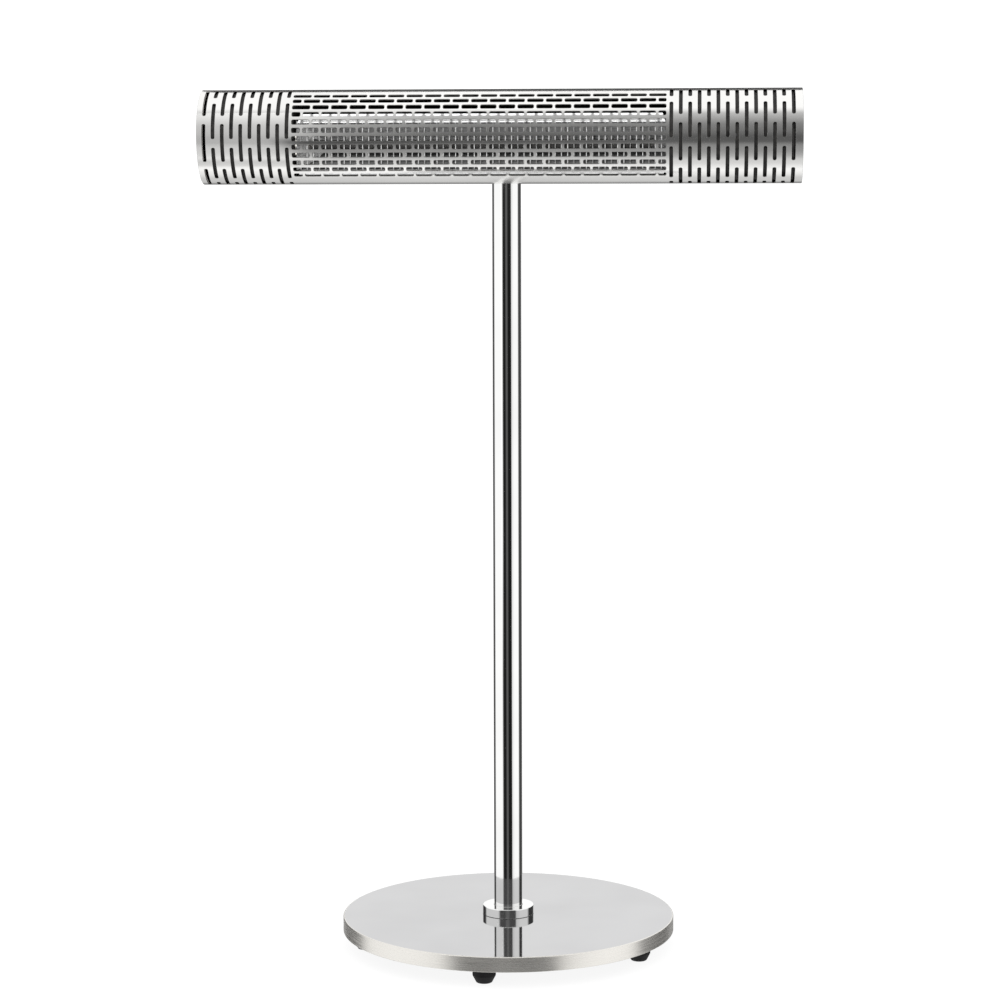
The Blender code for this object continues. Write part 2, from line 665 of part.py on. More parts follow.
def build_reflector(head):
    steps = 12
    heights = [MOUTH_HALF_HEIGHT * (2 * step / steps - 1) for step in range(steps + 1)]
    tip = MOUTH_HALF_HEIGHT + FLANGE
    front = [(MOUTH_Y, LAMP_Z - tip)] + [(trough_y(h), LAMP_Z + h) for h in heights]
    front.append((MOUTH_Y, LAMP_Z + tip))
    root = MOUTH_HALF_HEIGHT + 1.5 * SHEET
    flange_back = MOUTH_Y + SHEET
    outside = [trough_back(BACK_SHARE * h, SHEET) for h in heights]
    back = [(flange_back, LAMP_Z + tip), (flange_back, LAMP_Z + root)]
    back += reversed(outside)
    back += [(flange_back, LAMP_Z - root), (flange_back, LAMP_Z - tip)]
    extruded("reflector", front + back, trough_end(0, 0), trough_end(1, 0), head, "bright_aluminium")

    cheek = outside + [(MOUTH_Y, LAMP_Z + root), (MOUTH_Y, LAMP_Z - root)]
    lamp = head.moved((0, LAMP_Y, LAMP_Z), ALONG_X)
    hole = rod("lamp_holes", LAMP_RADIUS + 0.001, -LAMP_CUT, LAMP_CUT, lamp, "bright_aluminium")
    for side, label in enumerate(("left", "right")):
        near, far = trough_end(side, GAP), trough_end(side, GAP + SHEET)
        low, high = (far, near) if side == 0 else (near, far)
        end = extruded(f"reflector_end_{label}", cheek, low, high, head, "bright_aluminium")
        combine(end, hole)


def build_guard(head):
    """A flat ladder of upright wires across the trough's mouth."""
    wire = 0.0016
    start, stop = TROUGH_ENDS[0] + 0.004, TROUGH_ENDS[1] - 0.004
    pitch = (stop - start - wire) / (GUARD_RUNGS - 1)
    columns = []
    for number in range(GUARD_RUNGS):
        columns += [start + number * pitch, start + number * pitch + wire]
    reach = MOUTH_HALF_HEIGHT + 0.003
    rows = [LAMP_Z - reach, LAMP_Z - reach + wire, LAMP_Z + reach - wire, LAMP_Z + reach]

    def is_open(column, row):
        return column % 2 == 1 and row == 1

    def corner(x, z, side):
        return (x, GUARD_Y + side * wire, z)

    pierced_sheet("wire_guard", columns, rows, is_open, corner, False, head, "satin_steel")


def build_lamp(head):
    """A quartz tube with a carbon element, its end bases, and the ceramic holders they sit in."""
    lamp = head.moved((0, LAMP_Y, LAMP_Z), ALONG_X)
    sleeve("lamp_tube", LAMP_RADIUS, LAMP_BORE, *LAMP_ENDS, lamp, "quartz", SMALL_SIDES)
    plug = LAMP_BORE - GAP
    plug_length = 0.006
    inset = plug_length + GAP
    rod("lamp_filament", 0.002, LAMP_ENDS[0] + inset, LAMP_ENDS[1] - inset, lamp, "carbon", 12)
    for side, label in enumerate(("left", "right")):
        outwards = 1 if side else -1
        start = LAMP_ENDS[side] + outwards * GAP
        stop = BULKHEADS[side] - outwards * 0.001
        inner = start - outwards * plug_length
        base = [(0, inner), (plug, inner), (plug, start), (LAMP_RADIUS, start), (LAMP_RADIUS, stop),
                (0, stop)]
        turned(f"lamp_base_{label}", base, lamp, "ceramic", SMALL_SIDES)
        near = BULKHEADS[side] - outwards * GAP
        far = BULKHEADS[side] - outwards * HOLDER_REACH[side]
        half = 0.012
        holder = block(f"lamp_holder_{label}", (min(near, far), LAMP_Y - half, LAMP_Z - half),
                       (max(near, far), LAMP_Y + half, LAMP_Z + half), head, "ceramic")
        bore = rod(f"holder_bore_{label}", LAMP_RADIUS + GAP, -LAMP_CUT, LAMP_CUT, lamp, "ceramic")
        combine(holder, bore)


def build_chassis(head):
    """A channel along the back, with two stays that carry the reflector."""
    half, back, front, sheet = 0.012, 0.0545, 0.0450, 0.0015
    channel = [(back, -half), (back, half), (front, half), (front, half - sheet),
               (back - sheet, half - sheet), (back - sheet, sheet - half), (front, sheet - half),
               (front, -half)]
    rail = extruded("chassis_rail", channel, BULKHEADS[0] + GAP, BULKHEADS[1] - GAP, head, "zinc_steel")
    stay_front = MOUTH_Y + TROUGH_DEPTH + SHEET + 2 * GAP
    stay_half = 0.009
    for number, x in enumerate((-0.150, 0.100), start=1):
        stay = block(f"stay_{number}", (x, stay_front, LAMP_Z - stay_half),
                     (x + 2 * sheet, back - sheet / 2, stay_half), head, "zinc_steel")
        combine(rail, stay, "UNION")


def build_housings(head):
    """Dark cups behind the end slots: each closes off the lamp space and lines its end of the shell."""
    web = 0.0015
    wire_hole = 0.004
    inside = HOUSING_RADIUS - HOUSING_WALL
    made = []
    for side, label in enumerate(("left", "right")):
        length = HOUSING_END - abs(BULKHEADS[side])
        cup = [(wire_hole, 0), (CAP_RADIUS, 0), (CAP_RADIUS, web), (HOUSING_RADIUS, web),
               (HOUSING_RADIUS, length), (inside, length), (inside, web), (wire_hole, web)]
        facing = ALONG_X if side else ALONG_MINUS_X
        spot = head.moved((BULKHEADS[side], 0, 0), facing)
        made.append(turned(f"{label}_inner_housing", cup, spot, "blackened_steel"))
    return made


def build_electrics(head, right_housing):
    """The board with its relay, terminals and tip-over switch, and the remote control's receiver."""
    board_back = BOARD_FRONT + BOARD_THICKNESS
    block("control_board", (0.235, BOARD_FRONT, -0.032), (0.340, board_back, 0.032), head,
          "circuit_board")
    seat = BOARD_FRONT - GAP
    block("relay", (0.248, seat - 0.016, 0.004), (0.268, seat, 0.020), head, "black_plastic")
    block("terminal_block", (0.290, seat - 0.011, -0.028), (0.326, seat, -0.018), head, "bush_plastic")
    block("tip_over_switch", (0.286, seat - 0.018, 0.004), (0.300, seat, 0.028), head, "black_plastic")

    forwards = head.moved((RECEIVER_X, 0, 0), (pi / 2, 0, 0))
    shoulder = HOUSING_RADIUS - HOUSING_WALL - 2 * GAP
    root = shoulder - 0.008
    lens_radius = 0.0030
    lens = [(0, root), (0.0048, root), (0.0048, shoulder), (lens_radius, shoulder),
            (lens_radius, HOUSING_RADIUS + 0.0010), (0.0018, HOUSING_RADIUS + 0.0016),
            (0, HOUSING_RADIUS + 0.0018)]
    turned("remote_receiver", lens, forwards, "black_plastic", SMALL_SIDES)
    hole = rod("receiver_hole", lens_radius + 0.0004, shoulder - HOLE_RUN_OUT,
               HOUSING_RADIUS + HOLE_RUN_OUT, forwards, "black_plastic")
    combine(right_housing, hole)


def build_gland(head, shell, right_housing):
    """The cord's inlet: a gland through the back of the shell, between bracket and switch end."""
    backwards = head.moved((GLAND_X, 0, 0), ALONG_Y)
    seat = HEAD_RADIUS + GAP
    shoulder = seat + 0.004
    body_radius = 0.0075
    thread_radius = 0.0068
    body_start = HOUSING_RADIUS - 0.0135
    body = [(GLAND_BORE, body_start), (body_radius, body_start), (body_radius, seat), (0.0110, seat),
            (0.0110, shoulder), (thread_radius, shoulder), (thread_radius, shoulder + 0.006),
            (GLAND_BORE, shoulder + 0.006)]
    turned("cable_gland", body, backwards, "black_plastic", SMALL_SIDES)
    low = shoulder + GAP
    ceiling = low + 0.0065
    cap_bore = thread_radius + GAP
    cap_top = low + 0.012
    cap = [(cap_bore, low), (0.0100, low), (0.0100, low + 0.007), (0.0070, cap_top),
           (GLAND_BORE, cap_top), (GLAND_BORE, ceiling), (cap_bore, ceiling)]
    turned("gland_cap", cap, backwards, "black_plastic", SMALL_SIDES)
    hole = rod("gland_hole", body_radius + GAP, body_start + HOLE_RUN_OUT,
               HEAD_RADIUS + 2 * HOLE_RUN_OUT, backwards, "black_plastic")
    combine(shell, hole)
    combine(right_housing, hole)


def build_switch(head, rocker):
    """A rocker in a box with a bezel; its empty is on the rocker's axis, which runs along Z."""
    bezel_low = CAP_OUTSIDE + GAP
    bezel_high = bezel_low + 0.0015
    half_y, half_z = SWITCH_HALF
    body = block("switch_body", (SWITCH_BACK, -half_y, -half_z), (bezel_high - 0.0002, half_y, half_z),
                 head, "black_plastic")
    bezel_y, bezel_z = SWITCH_BEZEL_HALF
    bezel = block("switch_bezel", (bezel_low, -bezel_y, -bezel_z), (bezel_high, bezel_y, bezel_z), head,
                  "black_plastic")
    combine(body, bezel, "UNION")
    cavity_y, cavity_z = SWITCH_CAVITY_HALF
    cavity = block("switch_cavity", (SWITCH_PIVOT_X - 0.006, -cavity_y, -cavity_z),
                   (bezel_high + HOLE_RUN_OUT, cavity_y, cavity_z), head, "black_plastic")
    combine(body, cavity)

    shape = bmesh.new()
    half_width = cavity_z - GAP
    low, high, dip = -0.0030, 0.0040, 0.0026
    outline = [(low, -0.0080), (high, -0.0086), (dip, 0), (high, 0.0086), (low, 0.0080)]
    layers = [[shape.verts.new((x, y, z)) for x, y in outline] for z in (-half_width, half_width)]
    for layer in layers:
        shape.faces.new(layer)
    count = len(outline)
    for step in range(count):
        after = (step + 1) % count
        shape.faces.new((layers[0][step], layers[0][after], layers[1][after], layers[1][step]))
    piece("power_rocker", shape, Place(rocker, rotation=(0, 0, -ROCKER_TIP)), "black_plastic")


# Assembly ----------------------------------------------------------------------------------

def build_heater():
    remove_everything()
    stand = joint_empty("stand", None, (0, 0, 0))
    lower_ring = joint_empty("lower_lock_axis", stand, (0, 0, 0))
    middle = joint_empty("middle_slide_axis", stand, (0, 0, 0))
    upper_ring = joint_empty("upper_lock_axis", middle, (0, 0, 0))
    upper = joint_empty("upper_slide_axis", middle, (0, 0, 0))
    swivel = joint_empty("swivel_axis", upper, (0, 0, HEAD_Z))
    tilt = joint_empty("tilt_axis", swivel, (0, PIVOT_REACH - HEAD_REACH, 0))
    knob = joint_empty("knob_axis", tilt, (0, 0, 0))
    rocker = joint_empty("rocker_axis", tilt, (SWITCH_PIVOT_X, -PIVOT_REACH, 0))
    head = Place(tilt, (0, -PIVOT_REACH, 0))

    build_base(stand)
    build_mast_foot(stand)
    build_lower_mast(stand, lower_ring)
    build_middle_mast(middle, upper_ring)
    build_upper_mast(upper)
    build_yoke(swivel)
    shell = build_shell(head)
    build_bracket(head, shell)
    build_tilt_bolt(head, knob)
    build_caps(head)
    build_reflector(head)
    build_guard(head)
    build_lamp(head)
    build_chassis(head)
    right_housing = build_housings(head)[1]
    build_electrics(head, right_housing)
    build_gland(head, shell, right_housing)
    build_switch(head, rocker)


build_heater()
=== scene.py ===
"""Looks of the free-standing infrared patio heater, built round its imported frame.

Metres, +Z up, the heater faces -Y. Every piece is modelled in place, at rest, and rides on a body.
"""

from functools import partial
from math import atan2, ceil, cos, hypot, pi, radians, sin, tau

import bmesh
import bpy
from mathutils import Matrix, Vector
from mathutils.geometry import delaunay_2d_cdt


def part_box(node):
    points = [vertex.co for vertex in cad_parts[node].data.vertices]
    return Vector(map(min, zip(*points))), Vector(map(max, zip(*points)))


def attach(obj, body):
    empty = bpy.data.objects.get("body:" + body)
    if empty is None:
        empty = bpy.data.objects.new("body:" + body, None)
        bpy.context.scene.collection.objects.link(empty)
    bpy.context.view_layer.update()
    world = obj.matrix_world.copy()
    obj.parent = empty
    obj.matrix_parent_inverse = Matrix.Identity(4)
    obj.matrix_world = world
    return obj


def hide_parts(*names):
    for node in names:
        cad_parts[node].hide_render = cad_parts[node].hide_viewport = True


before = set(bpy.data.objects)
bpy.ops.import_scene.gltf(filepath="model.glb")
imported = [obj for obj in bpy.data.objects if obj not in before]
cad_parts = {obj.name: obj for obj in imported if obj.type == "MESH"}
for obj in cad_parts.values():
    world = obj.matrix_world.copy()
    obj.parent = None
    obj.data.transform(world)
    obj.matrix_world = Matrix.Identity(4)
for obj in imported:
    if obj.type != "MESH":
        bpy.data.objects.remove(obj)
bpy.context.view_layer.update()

# Places and sizes shared with the part
HEAD_LENGTH = 0.781
HEAD_RADIUS = 0.0615
SHELL_WALL = 0.0012
HEAD_REACH = 0.112
HEAD_Z = 1.1065
HEAD = Vector((0, -HEAD_REACH, HEAD_Z))
BASE_RADIUS = 0.228
BASE_TOP = 0.042
RIM_BOTTOM = 0.0215
FOOT_CIRCLE = 0.1987
FOOT_COUNT = 5
FIRST_FOOT_ANGLE = radians(-95.6)
LOWER_RADIUS, MIDDLE_RADIUS, UPPER_RADIUS = 0.0195, 0.0160, 0.0125
LOWER_COLLAR_TOP, UPPER_COLLAR_TOP = 1.0616, 1.0866
PIVOT = Vector((0, HEAD.y + 0.082, HEAD_Z))
GAP = 0.0003
TOLERANCE = 0.00002

RIGHT = Vector((1, 0, 0))
BACK = Vector((0, 1, 0))


# Material tools ------------

def grey(brightness):
    return (brightness,) * 3


def set_inputs(owner, node, **inputs):
    """Links the inputs that are given sockets and sets the others; _ stands for a space in a name."""
    for name, value in inputs.items():
        socket = node.inputs[name.replace("_", " ")]
        if isinstance(value, bpy.types.NodeSocket):
            owner.node_tree.links.new(value, socket)
        else:
            socket.default_value = value


def add_node(owner, kind, **inputs):
    """A node in the tree of a material or world."""
    node = owner.node_tree.nodes.new(kind)
    set_inputs(owner, node, **inputs)
    return node


def principled(name, colour, metallic, roughness, **inputs):
    """A Principled material, with other inputs of its shader by name."""
    made = bpy.data.materials.new(name)
    made.use_nodes = True
    values = {"Base_Color": (*colour, 1), "Metallic": metallic, "Roughness": roughness, **inputs}
    set_inputs(made, made.node_tree.nodes["Principled BSDF"], **values)
    return made


def place_on_object(material, stretch=(1, 1, 1)):
    """The object's own coordinates in metres, stretched along each axis."""
    source = add_node(material, "ShaderNodeTexCoord").outputs["Object"]
    return add_node(material, "ShaderNodeMapping", Vector=source, Scale=stretch).outputs["Vector"]


def place_parts(material):
    """The object's own coordinates in metres, as separate numbers."""
    return add_node(material, "ShaderNodeSeparateXYZ", Vector=place_on_object(material)).outputs


def noise(material, scale, detail=3.0, stretch=(1, 1, 1)):
    place = place_on_object(material, stretch)
    return add_node(material, "ShaderNodeTexNoise", Vector=place, Scale=scale, Detail=detail).outputs["Fac"]


def cells(material, scale):
    place = place_on_object(material)
    return add_node(material, "ShaderNodeTexVoronoi", Vector=place, Scale=scale).outputs["Distance"]


def spread(material, factor, low, high, start=0.3, stop=0.7):
    """A number that goes from low to high as the factor goes from start to stop."""
    return add_node(material, "ShaderNodeMapRange", Value=factor, From_Min=start, From_Max=stop,
                    To_Min=low, To_Max=high).outputs["Result"]


def tint(material, factor, dark, light, start=0.3, stop=0.7):
    """A colour that goes from dark to light."""
    node = add_node(material, "ShaderNodeValToRGB", Fac=factor)
    ends = node.color_ramp.elements
    ends[0].position, ends[1].position = start, stop
    ends[0].color, ends[1].color = (*dark, 1), (*light, 1)
    return node.outputs["Color"]


def set_surface(material, colour, roughness, bumps=()):
    """Links a colour, a roughness and bumps, each bump a (height, depth in metres)."""
    normal = {}
    for height, depth in bumps:
        bump = add_node(material, "ShaderNodeBump", Height=height, Distance=depth, **normal)
        normal = {"Normal": bump.outputs["Normal"]}
    set_inputs(material, material.node_tree.nodes["Principled BSDF"], Base_Color=colour,
               Roughness=roughness, **normal)
    return material


# Materials ------------

def steel(name, colour, roughness, grain, stretch, depth, **sockets):
    """Stainless steel: soft tonal drift, polishing grain along one direction and faint waves."""
    made = principled(name, colour, 1.0, roughness[0], **sockets)
    drift = noise(made, 9.0, 2.0)
    lines = noise(made, grain, 4.0, stretch)
    darker = tuple(0.93 * c for c in colour)
    return set_surface(made, tint(made, drift, darker, colour), spread(made, lines, *roughness),
                       [(lines, depth)])


def clouded(name, base, cloud, dark, light, roughness, bumps=(), **sockets):
    """A material whose tone and roughness drift together.

    base is its plain colour, metallic and roughness, and cloud the noise settings of the drift. Each
    bump is a pattern's function, its settings and its depth in metres.
    """
    made = principled(name, *base, **sockets)
    drift = noise(made, *cloud)
    heights = [(pattern(made, *settings), depth) for pattern, settings, depth in bumps]
    return set_surface(made, tint(made, drift, dark, light), spread(made, drift, *roughness), heights)


def polished_steel():
    return steel("polished_steel", (0.86, 0.86, 0.855), (0.035, 0.075), 40, (12, 12, 0.4), 0.000002)


def shell_steel():
    return steel("shell_steel", (0.87, 0.865, 0.85), (0.10, 0.17), 30, (0.15, 22, 22), 0.000006)


def shell_inside_shaded_steel():
    """The shell's inner skin, coloured near black as painted shade for the dim inside of the head."""
    return steel("shell_inside_shaded_steel", (0.11, 0.10, 0.095), (0.35, 0.55), 40, (0.5, 6, 6), 0.00001)


def cut_edge_steel():
    """The walls of the slots, as the punch left them."""
    return steel("cut_edge_steel", (0.46, 0.455, 0.44), (0.30, 0.45), 90, (1, 1, 1), 0.00001)


def base_top_steel():
    return steel("base_top_steel", (0.60, 0.60, 0.605), (0.03, 0.07), 16, (0.5, 9, 1), 0.000001,
                 Specular_Tint=(*grey(0.85), 1))


def rim_steel():
    return steel("rim_steel", (0.76, 0.74, 0.70), (0.20, 0.34), 30, (0.6, 0.6, 40), 0.00001, Metallic=0.86)


def satin_steel():
    return steel("satin_steel", (0.62, 0.60, 0.57), (0.24, 0.38), 40, (1, 1, 18), 0.00001)


def guard_wire():
    return steel("guard_wire", (0.86, 0.86, 0.85), (0.25, 0.38), 60, (8, 8, 1), 0.00001, Metallic=0.6)


def zinc_steel():
    """Zinc plating: a bluish, cloudy, slightly spangled surface."""
    return clouded("zinc_steel", ((0.55, 0.56, 0.58), 1.0, 0.35), (160, 4.0), (0.46, 0.47, 0.50),
                   (0.64, 0.65, 0.66), (0.26, 0.42), [(cells, (700,), 0.00001)])


def bright_aluminium():
    made = principled("bright_aluminium", (0.86, 0.86, 0.87), 1.0, 0.12)
    cloud = noise(made, 24, 3.0)
    rolling = noise(made, 35, 4.0, (0.3, 12, 12))
    return set_surface(made, tint(made, cloud, (0.84, 0.84, 0.85), grey(0.93)),
                       spread(made, rolling, 0.08, 0.20), [(rolling, 0.00002), (cells(made, 260), 0.00003)])


def heated_aluminium_painted_shade():
    """Reflector sheet dulled by the lamp's heat, with painted shade that makes it darker from the lamp's
    height down and painted light that makes it lighter above.
    """
    made = principled("heated_aluminium_painted_shade", grey(0.45), 0.6, 0.30)
    # Painted shade and light: the colour runs from dark below the lamp's height to light above it.
    painted_light_share = spread(made, place_parts(made)["Z"], 0, 1, HEAD_Z - 0.022, HEAD_Z - 0.008)
    rolling = noise(made, 35, 4.0, (0.3, 12, 12))
    return set_surface(made, tint(made, painted_light_share, grey(0.20), grey(0.66), 0, 1),
                       spread(made, rolling, 0.24, 0.40), [(rolling, 0.00002)])


def frosted_aluminium():
    """Pale, frosted sheet."""
    return clouded("frosted_aluminium", (grey(0.86), 0.35, 0.45), (40, 3.0), grey(0.82), grey(0.90),
                   (0.38, 0.52), [(noise, (900, 2.0), 0.00001)])


def blackened_steel():
    """A matt heat-proof coating with a little dust and a fine tooth."""
    return clouded("blackened_steel", (grey(0.012), 0.0, 0.6), (120, 5.0), grey(0.006),
                   (0.022, 0.021, 0.020), (0.5, 0.75), [(noise, (2200, 2.0), 0.00003)],
                   Specular_IOR_Level=0.25)


def black_rubber():
    return clouded("black_rubber", (grey(0.012), 0.0, 0.6), (90, 4.0), grey(0.006),
                   (0.016, 0.016, 0.017), (0.42, 0.62), [(noise, (1500, 3.0), 0.00006)],
                   Specular_IOR_Level=0.12)


def black_plastic():
    """Spark-eroded moulded plastic."""
    return clouded("black_plastic", (grey(0.02), 0.0, 0.42), (60, 4.0), (0.013, 0.013, 0.014),
                   (0.030, 0.030, 0.031), (0.34, 0.50), [(cells, (2600,), 0.00005)])


def bush_plastic():
    return clouded("bush_plastic", ((0.60, 0.60, 0.56), 0.0, 0.45), (70, 4.0), (0.52, 0.51, 0.47),
                   (0.66, 0.65, 0.61), (0.38, 0.55), [(noise, (900, 2.0), 0.00003)],
                   Subsurface_Weight=0.1)


def painted_ballast():
    """Black stoved paint with orange peel."""
    return clouded("painted_ballast", (grey(0.03), 0.0, 0.5), (14, 4.0), (0.022, 0.022, 0.023),
                   (0.045, 0.045, 0.046), (0.42, 0.58), [(noise, (420, 2.0), 0.00012)])


def quartz():
    """Smoked quartz, as on a low-glare lamp."""
    return clouded("quartz", ((0.16, 0.155, 0.15), 0.0, 0.03), (50, 4.0, (0.3, 3, 3)),
                   (0.10, 0.097, 0.094), (0.20, 0.195, 0.19), (0.015, 0.08), Transmission_Weight=0.85,
                   IOR=1.46)


def carbon():
    weave = (900, 3.0, (0.3, 1, 1))
    return clouded("carbon", ((0.05, 0.045, 0.045), 0.0, 0.6), weave, (0.02, 0.018, 0.018),
                   (0.09, 0.08, 0.075), (0.45, 0.7), [(noise, weave, 0.00005)])


def ceramic():
    return clouded("ceramic", ((0.82, 0.80, 0.75), 0.0, 0.55), (650, 4.0), (0.70, 0.68, 0.62),
                   (0.86, 0.84, 0.80), (0.45, 0.65), [(noise, (650, 4.0), 0.00006)])


def circuit_board():
    """Green solder mask over copper tracks."""
    made = principled("circuit_board", (0.02, 0.16, 0.07), 0.0, 0.35)
    turn = add_node(made, "ShaderNodeMapping", Vector=place_on_object(made), Rotation=(pi / 2, 0, 0))
    tracks = add_node(made, "ShaderNodeTexBrick", Vector=turn.outputs["Vector"], Scale=120,
                      Color1=(0.012, 0.12, 0.05, 1), Color2=(0.018, 0.15, 0.065, 1),
                      Mortar=(0.05, 0.24, 0.10, 1))
    return set_surface(made, tracks.outputs["Color"], spread(made, noise(made, 80), 0.28, 0.42),
                       [(tracks.outputs["Fac"], 0.00004)])


# Mesh tools ------------

def along(direction, origin=(0, 0, 0)):
    """The matrix that puts local +Z on the direction, at the origin given."""
    turn = Vector(direction).to_track_quat("Z", "Y").to_matrix().to_4x4()
    return Matrix.Translation(Vector(origin)) @ turn


def place_object(name, data):
    made = bpy.data.objects.new(name, data)
    bpy.context.scene.collection.objects.link(made)
    return made


def mesh_of(name, shape):
    """The mesh of a bmesh, which is used up."""
    bmesh.ops.recalc_face_normals(shape, faces=shape.faces)
    mesh = bpy.data.meshes.new(name)
    shape.to_mesh(mesh)
    shape.free()
    return mesh


def add_piece(name, shape, body, material, replaced, sharp=32):
    """One piece from a bmesh whose points are in place, riding on a body."""
    mesh = mesh_of(name, shape)
    mesh.shade_smooth()
    mesh.set_sharp_from_angle(angle=radians(sharp))
    made = add_mesh(name, mesh, body, material, replaced)
    made.modifiers.new("Even shading", "WEIGHTED_NORMAL").keep_sharp = True
    return made


def add_mesh(name, mesh, body, material, replaced):
    """One piece from a finished mesh; material may be a list."""
    made = place_object(name, mesh)
    for one in material if isinstance(material, list) else [material]:
        mesh.materials.append(one)
    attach(made, body)
    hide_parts(*replaced)
    return made


def soften(piece, width):
    """Rounds a piece's edges; flat faces keep their own shading."""
    bevel = piece.modifiers.new("Rounded edges", "BEVEL")
    bevel.width = width
    bevel.segments = 3
    bevel.limit_method = "ANGLE"
    bevel.angle_limit = radians(32)
    bevel.harden_normals = True


def rounded(corners, steps=4):
    """A closed outline from (a, b) or (a, b, radius) corners, with arcs at those with a radius."""
    outline = []
    count = len(corners)
    for number, corner in enumerate(corners):
        here = Vector(corner[:2])
        if len(corner) == 2 or corner[2] == 0:
            outline.append(tuple(here))
            continue
        before = (Vector(corners[number - 1][:2]) - here).normalized()
        after = (Vector(corners[(number + 1) % count][:2]) - here).normalized()
        half = before.angle(after) / 2
        reach = corner[2] / (sin(half) / cos(half))
        centre = here + (before + after).normalized() * corner[2] / sin(half)
        first, last = here + before * reach - centre, here + after * reach - centre
        turn = first.angle_signed(last)
        start = atan2(first.y, first.x)
        for step in range(steps + 1):
            angle = start - turn * step / steps
            outline.append((centre.x + corner[2] * cos(angle), centre.y + corner[2] * sin(angle)))
    return outline


def turn_solid(outline, place, sides, reach=None, shape=None):
    """A solid of revolution about the place's local Z, in a bmesh of its own or added to one.

    reach(angle, radius) may wave the radius.
    """
    shape = bmesh.new() if shape is None else shape
    rings = []
    for radius, height in outline:
        if radius == 0:
            rings.append([shape.verts.new(place @ Vector((0, 0, height)))] * sides)
            continue
        ring = []
        for step in range(sides):
            angle = tau * step / sides
            out = reach(angle, radius) if reach else radius
            ring.append(shape.verts.new(place @ Vector((out * cos(angle), out * sin(angle), height))))
        rings.append(ring)
    for ring, following in zip(rings, rings[1:] + rings[:1]):
        join_rings(shape, ring, following)
    return shape


def join_rings(shape, first, second):
    """Adds the faces between two closed rings of points, and returns them in order."""
    faces = []
    for step in range(len(first)):
        after = (step + 1) % len(first)
        corners = list(dict.fromkeys((first[step], first[after], second[after], second[step])))
        if len(corners) > 2:
            faces.append(shape.faces.new(corners))
    return faces


def cylinder(radius, low, high, place, sides):
    return turn_solid([(0, low), (radius, low), (radius, high), (0, high)], place, sides)


def turned(name, corners, place, body, material, replaced, sides=96, reach=None, steps=4):
    """A turned piece from an outline of (radius, height, rounding) corners."""
    shape = turn_solid(rounded(corners, steps), place, sides, reach)
    add_piece(name, shape, body, material, replaced)


def prism(outline, place, low, high):
    """A bmesh of the outline, extruded along the place's local Z."""
    shape = bmesh.new()
    ends = [[shape.verts.new(place @ Vector((a, b, height))) for a, b in outline]
            for height in (low, high)]
    shape.faces.new(reversed(ends[0]))
    shape.faces.new(ends[1])
    join_rings(shape, *ends)
    return shape


def combined(first, second, operation="DIFFERENCE"):
    """The bmesh left when the second closed shape is taken out of the first, or joined to it."""
    objects = [place_object("operand", mesh_of("operand", shape)) for shape in (first, second)]
    modifier = objects[0].modifiers.new("Combine", "BOOLEAN")
    modifier.operation = operation
    modifier.object = objects[1]
    bpy.context.view_layer.update()
    result = bmesh.new()
    result.from_object(objects[0], bpy.context.evaluated_depsgraph_get())
    for made in objects:
        bpy.data.objects.remove(made)
    return result


def add_rod(shape, start, stop, radius, sides=10):
    """Adds a round bar between two points, with slightly rounded ends."""
    span = Vector(stop) - Vector(start)
    edge = 0.35 * radius
    outline = rounded([(0, 0), (radius, 0, edge), (radius, span.length, edge), (0, span.length)], 2)
    turn_solid(outline, along(span, start), sides, shape=shape)


# Slotted shell ------------
# The pattern is laid out on the unrolled sheet: x along the head, arc round it, 0 at the front.

GRID = 0.012                         # pitch of the upright slots along the head
END_SLOT_HALF_WIDTH = 0.00225
END_SLOT_HALF_SPAN = radians(23.35)
END_PERIOD = radians(57.4)           # pitch of the upright slots round the head
PATTERN_MIDDLE = radians(-7.8)
PATTERN_ENDS = (radians(-84), radians(78))
LEFT_COLUMNS = (-0.3809, 10)         # middle of the first column and their count
RIGHT_COLUMNS = (0.2220, 14)
ROW_PITCH = radians(10.12)
ROW_PHASE = radians(-2.5)
ROWS = range(-5, 7)
ROW_SLOT_HALF_HEIGHT = 0.0032
ROW_BRIDGE = 0.0034
ROW_ZONE = (-0.2684, 0.2172)
ROW_START = -0.2660                  # first line of the row slots' own division
ROW_SLOT_PITCH = 0.0241
ROW_SLOTS = 20
SLOT_CORNER = 0.0019
SHEET_STEP = radians(2.5)
SEAM = radians(-155)
EDGE_ROUNDING = 0.0003
SLOT_MARGIN = 0.0007                 # no even points closer to a slot
GLAND_HOLE = (0.262, radians(180), 0.0078)
SCREW_HOLE = 0.0028
SCREW_X = 0.020
SCREW_ANGLE = radians(20)


def end_slots():
    """Upright slots in staggered columns at both ends: (x, angle, half width, half arc, corner)."""
    slots = []
    for (first_x, count), bridged in ((LEFT_COLUMNS, 1), (RIGHT_COLUMNS, 0)):
        for column in range(count):
            offsets = (-1.5, -0.5, 0.5, 1.5) if column % 2 == bridged else (-1, 0, 1)
            for offset in offsets:
                middle = PATTERN_MIDDLE + offset * END_PERIOD
                low = max(PATTERN_ENDS[0], middle - END_SLOT_HALF_SPAN)
                high = min(PATTERN_ENDS[1], middle + END_SLOT_HALF_SPAN)
                slots.append((first_x + GRID * column, (low + high) / 2, END_SLOT_HALF_WIDTH,
                              HEAD_RADIUS * (high - low) / 2, SLOT_CORNER))
    return slots


def row_slots():
    """Level slots in staggered rows along the middle, with half slots at the ends of every second row."""
    slots = []
    for row in ROWS:
        angle = ROW_PHASE + ROW_PITCH * row
        shift = 0.5 if row % 2 else 0
        lines = [ROW_START + ROW_SLOT_PITCH * (number + shift) for number in range(ROW_SLOTS)]
        edges = ([ROW_ZONE[0]] if shift else []) + lines + [ROW_ZONE[1]]
        edges[0] = ROW_ZONE[0]
        for low, high in zip(edges, edges[1:]):
            half = (high - low - ROW_BRIDGE) / 2
            slots.append(((low + high) / 2, angle, half, ROW_SLOT_HALF_HEIGHT, SLOT_CORNER))
    return slots


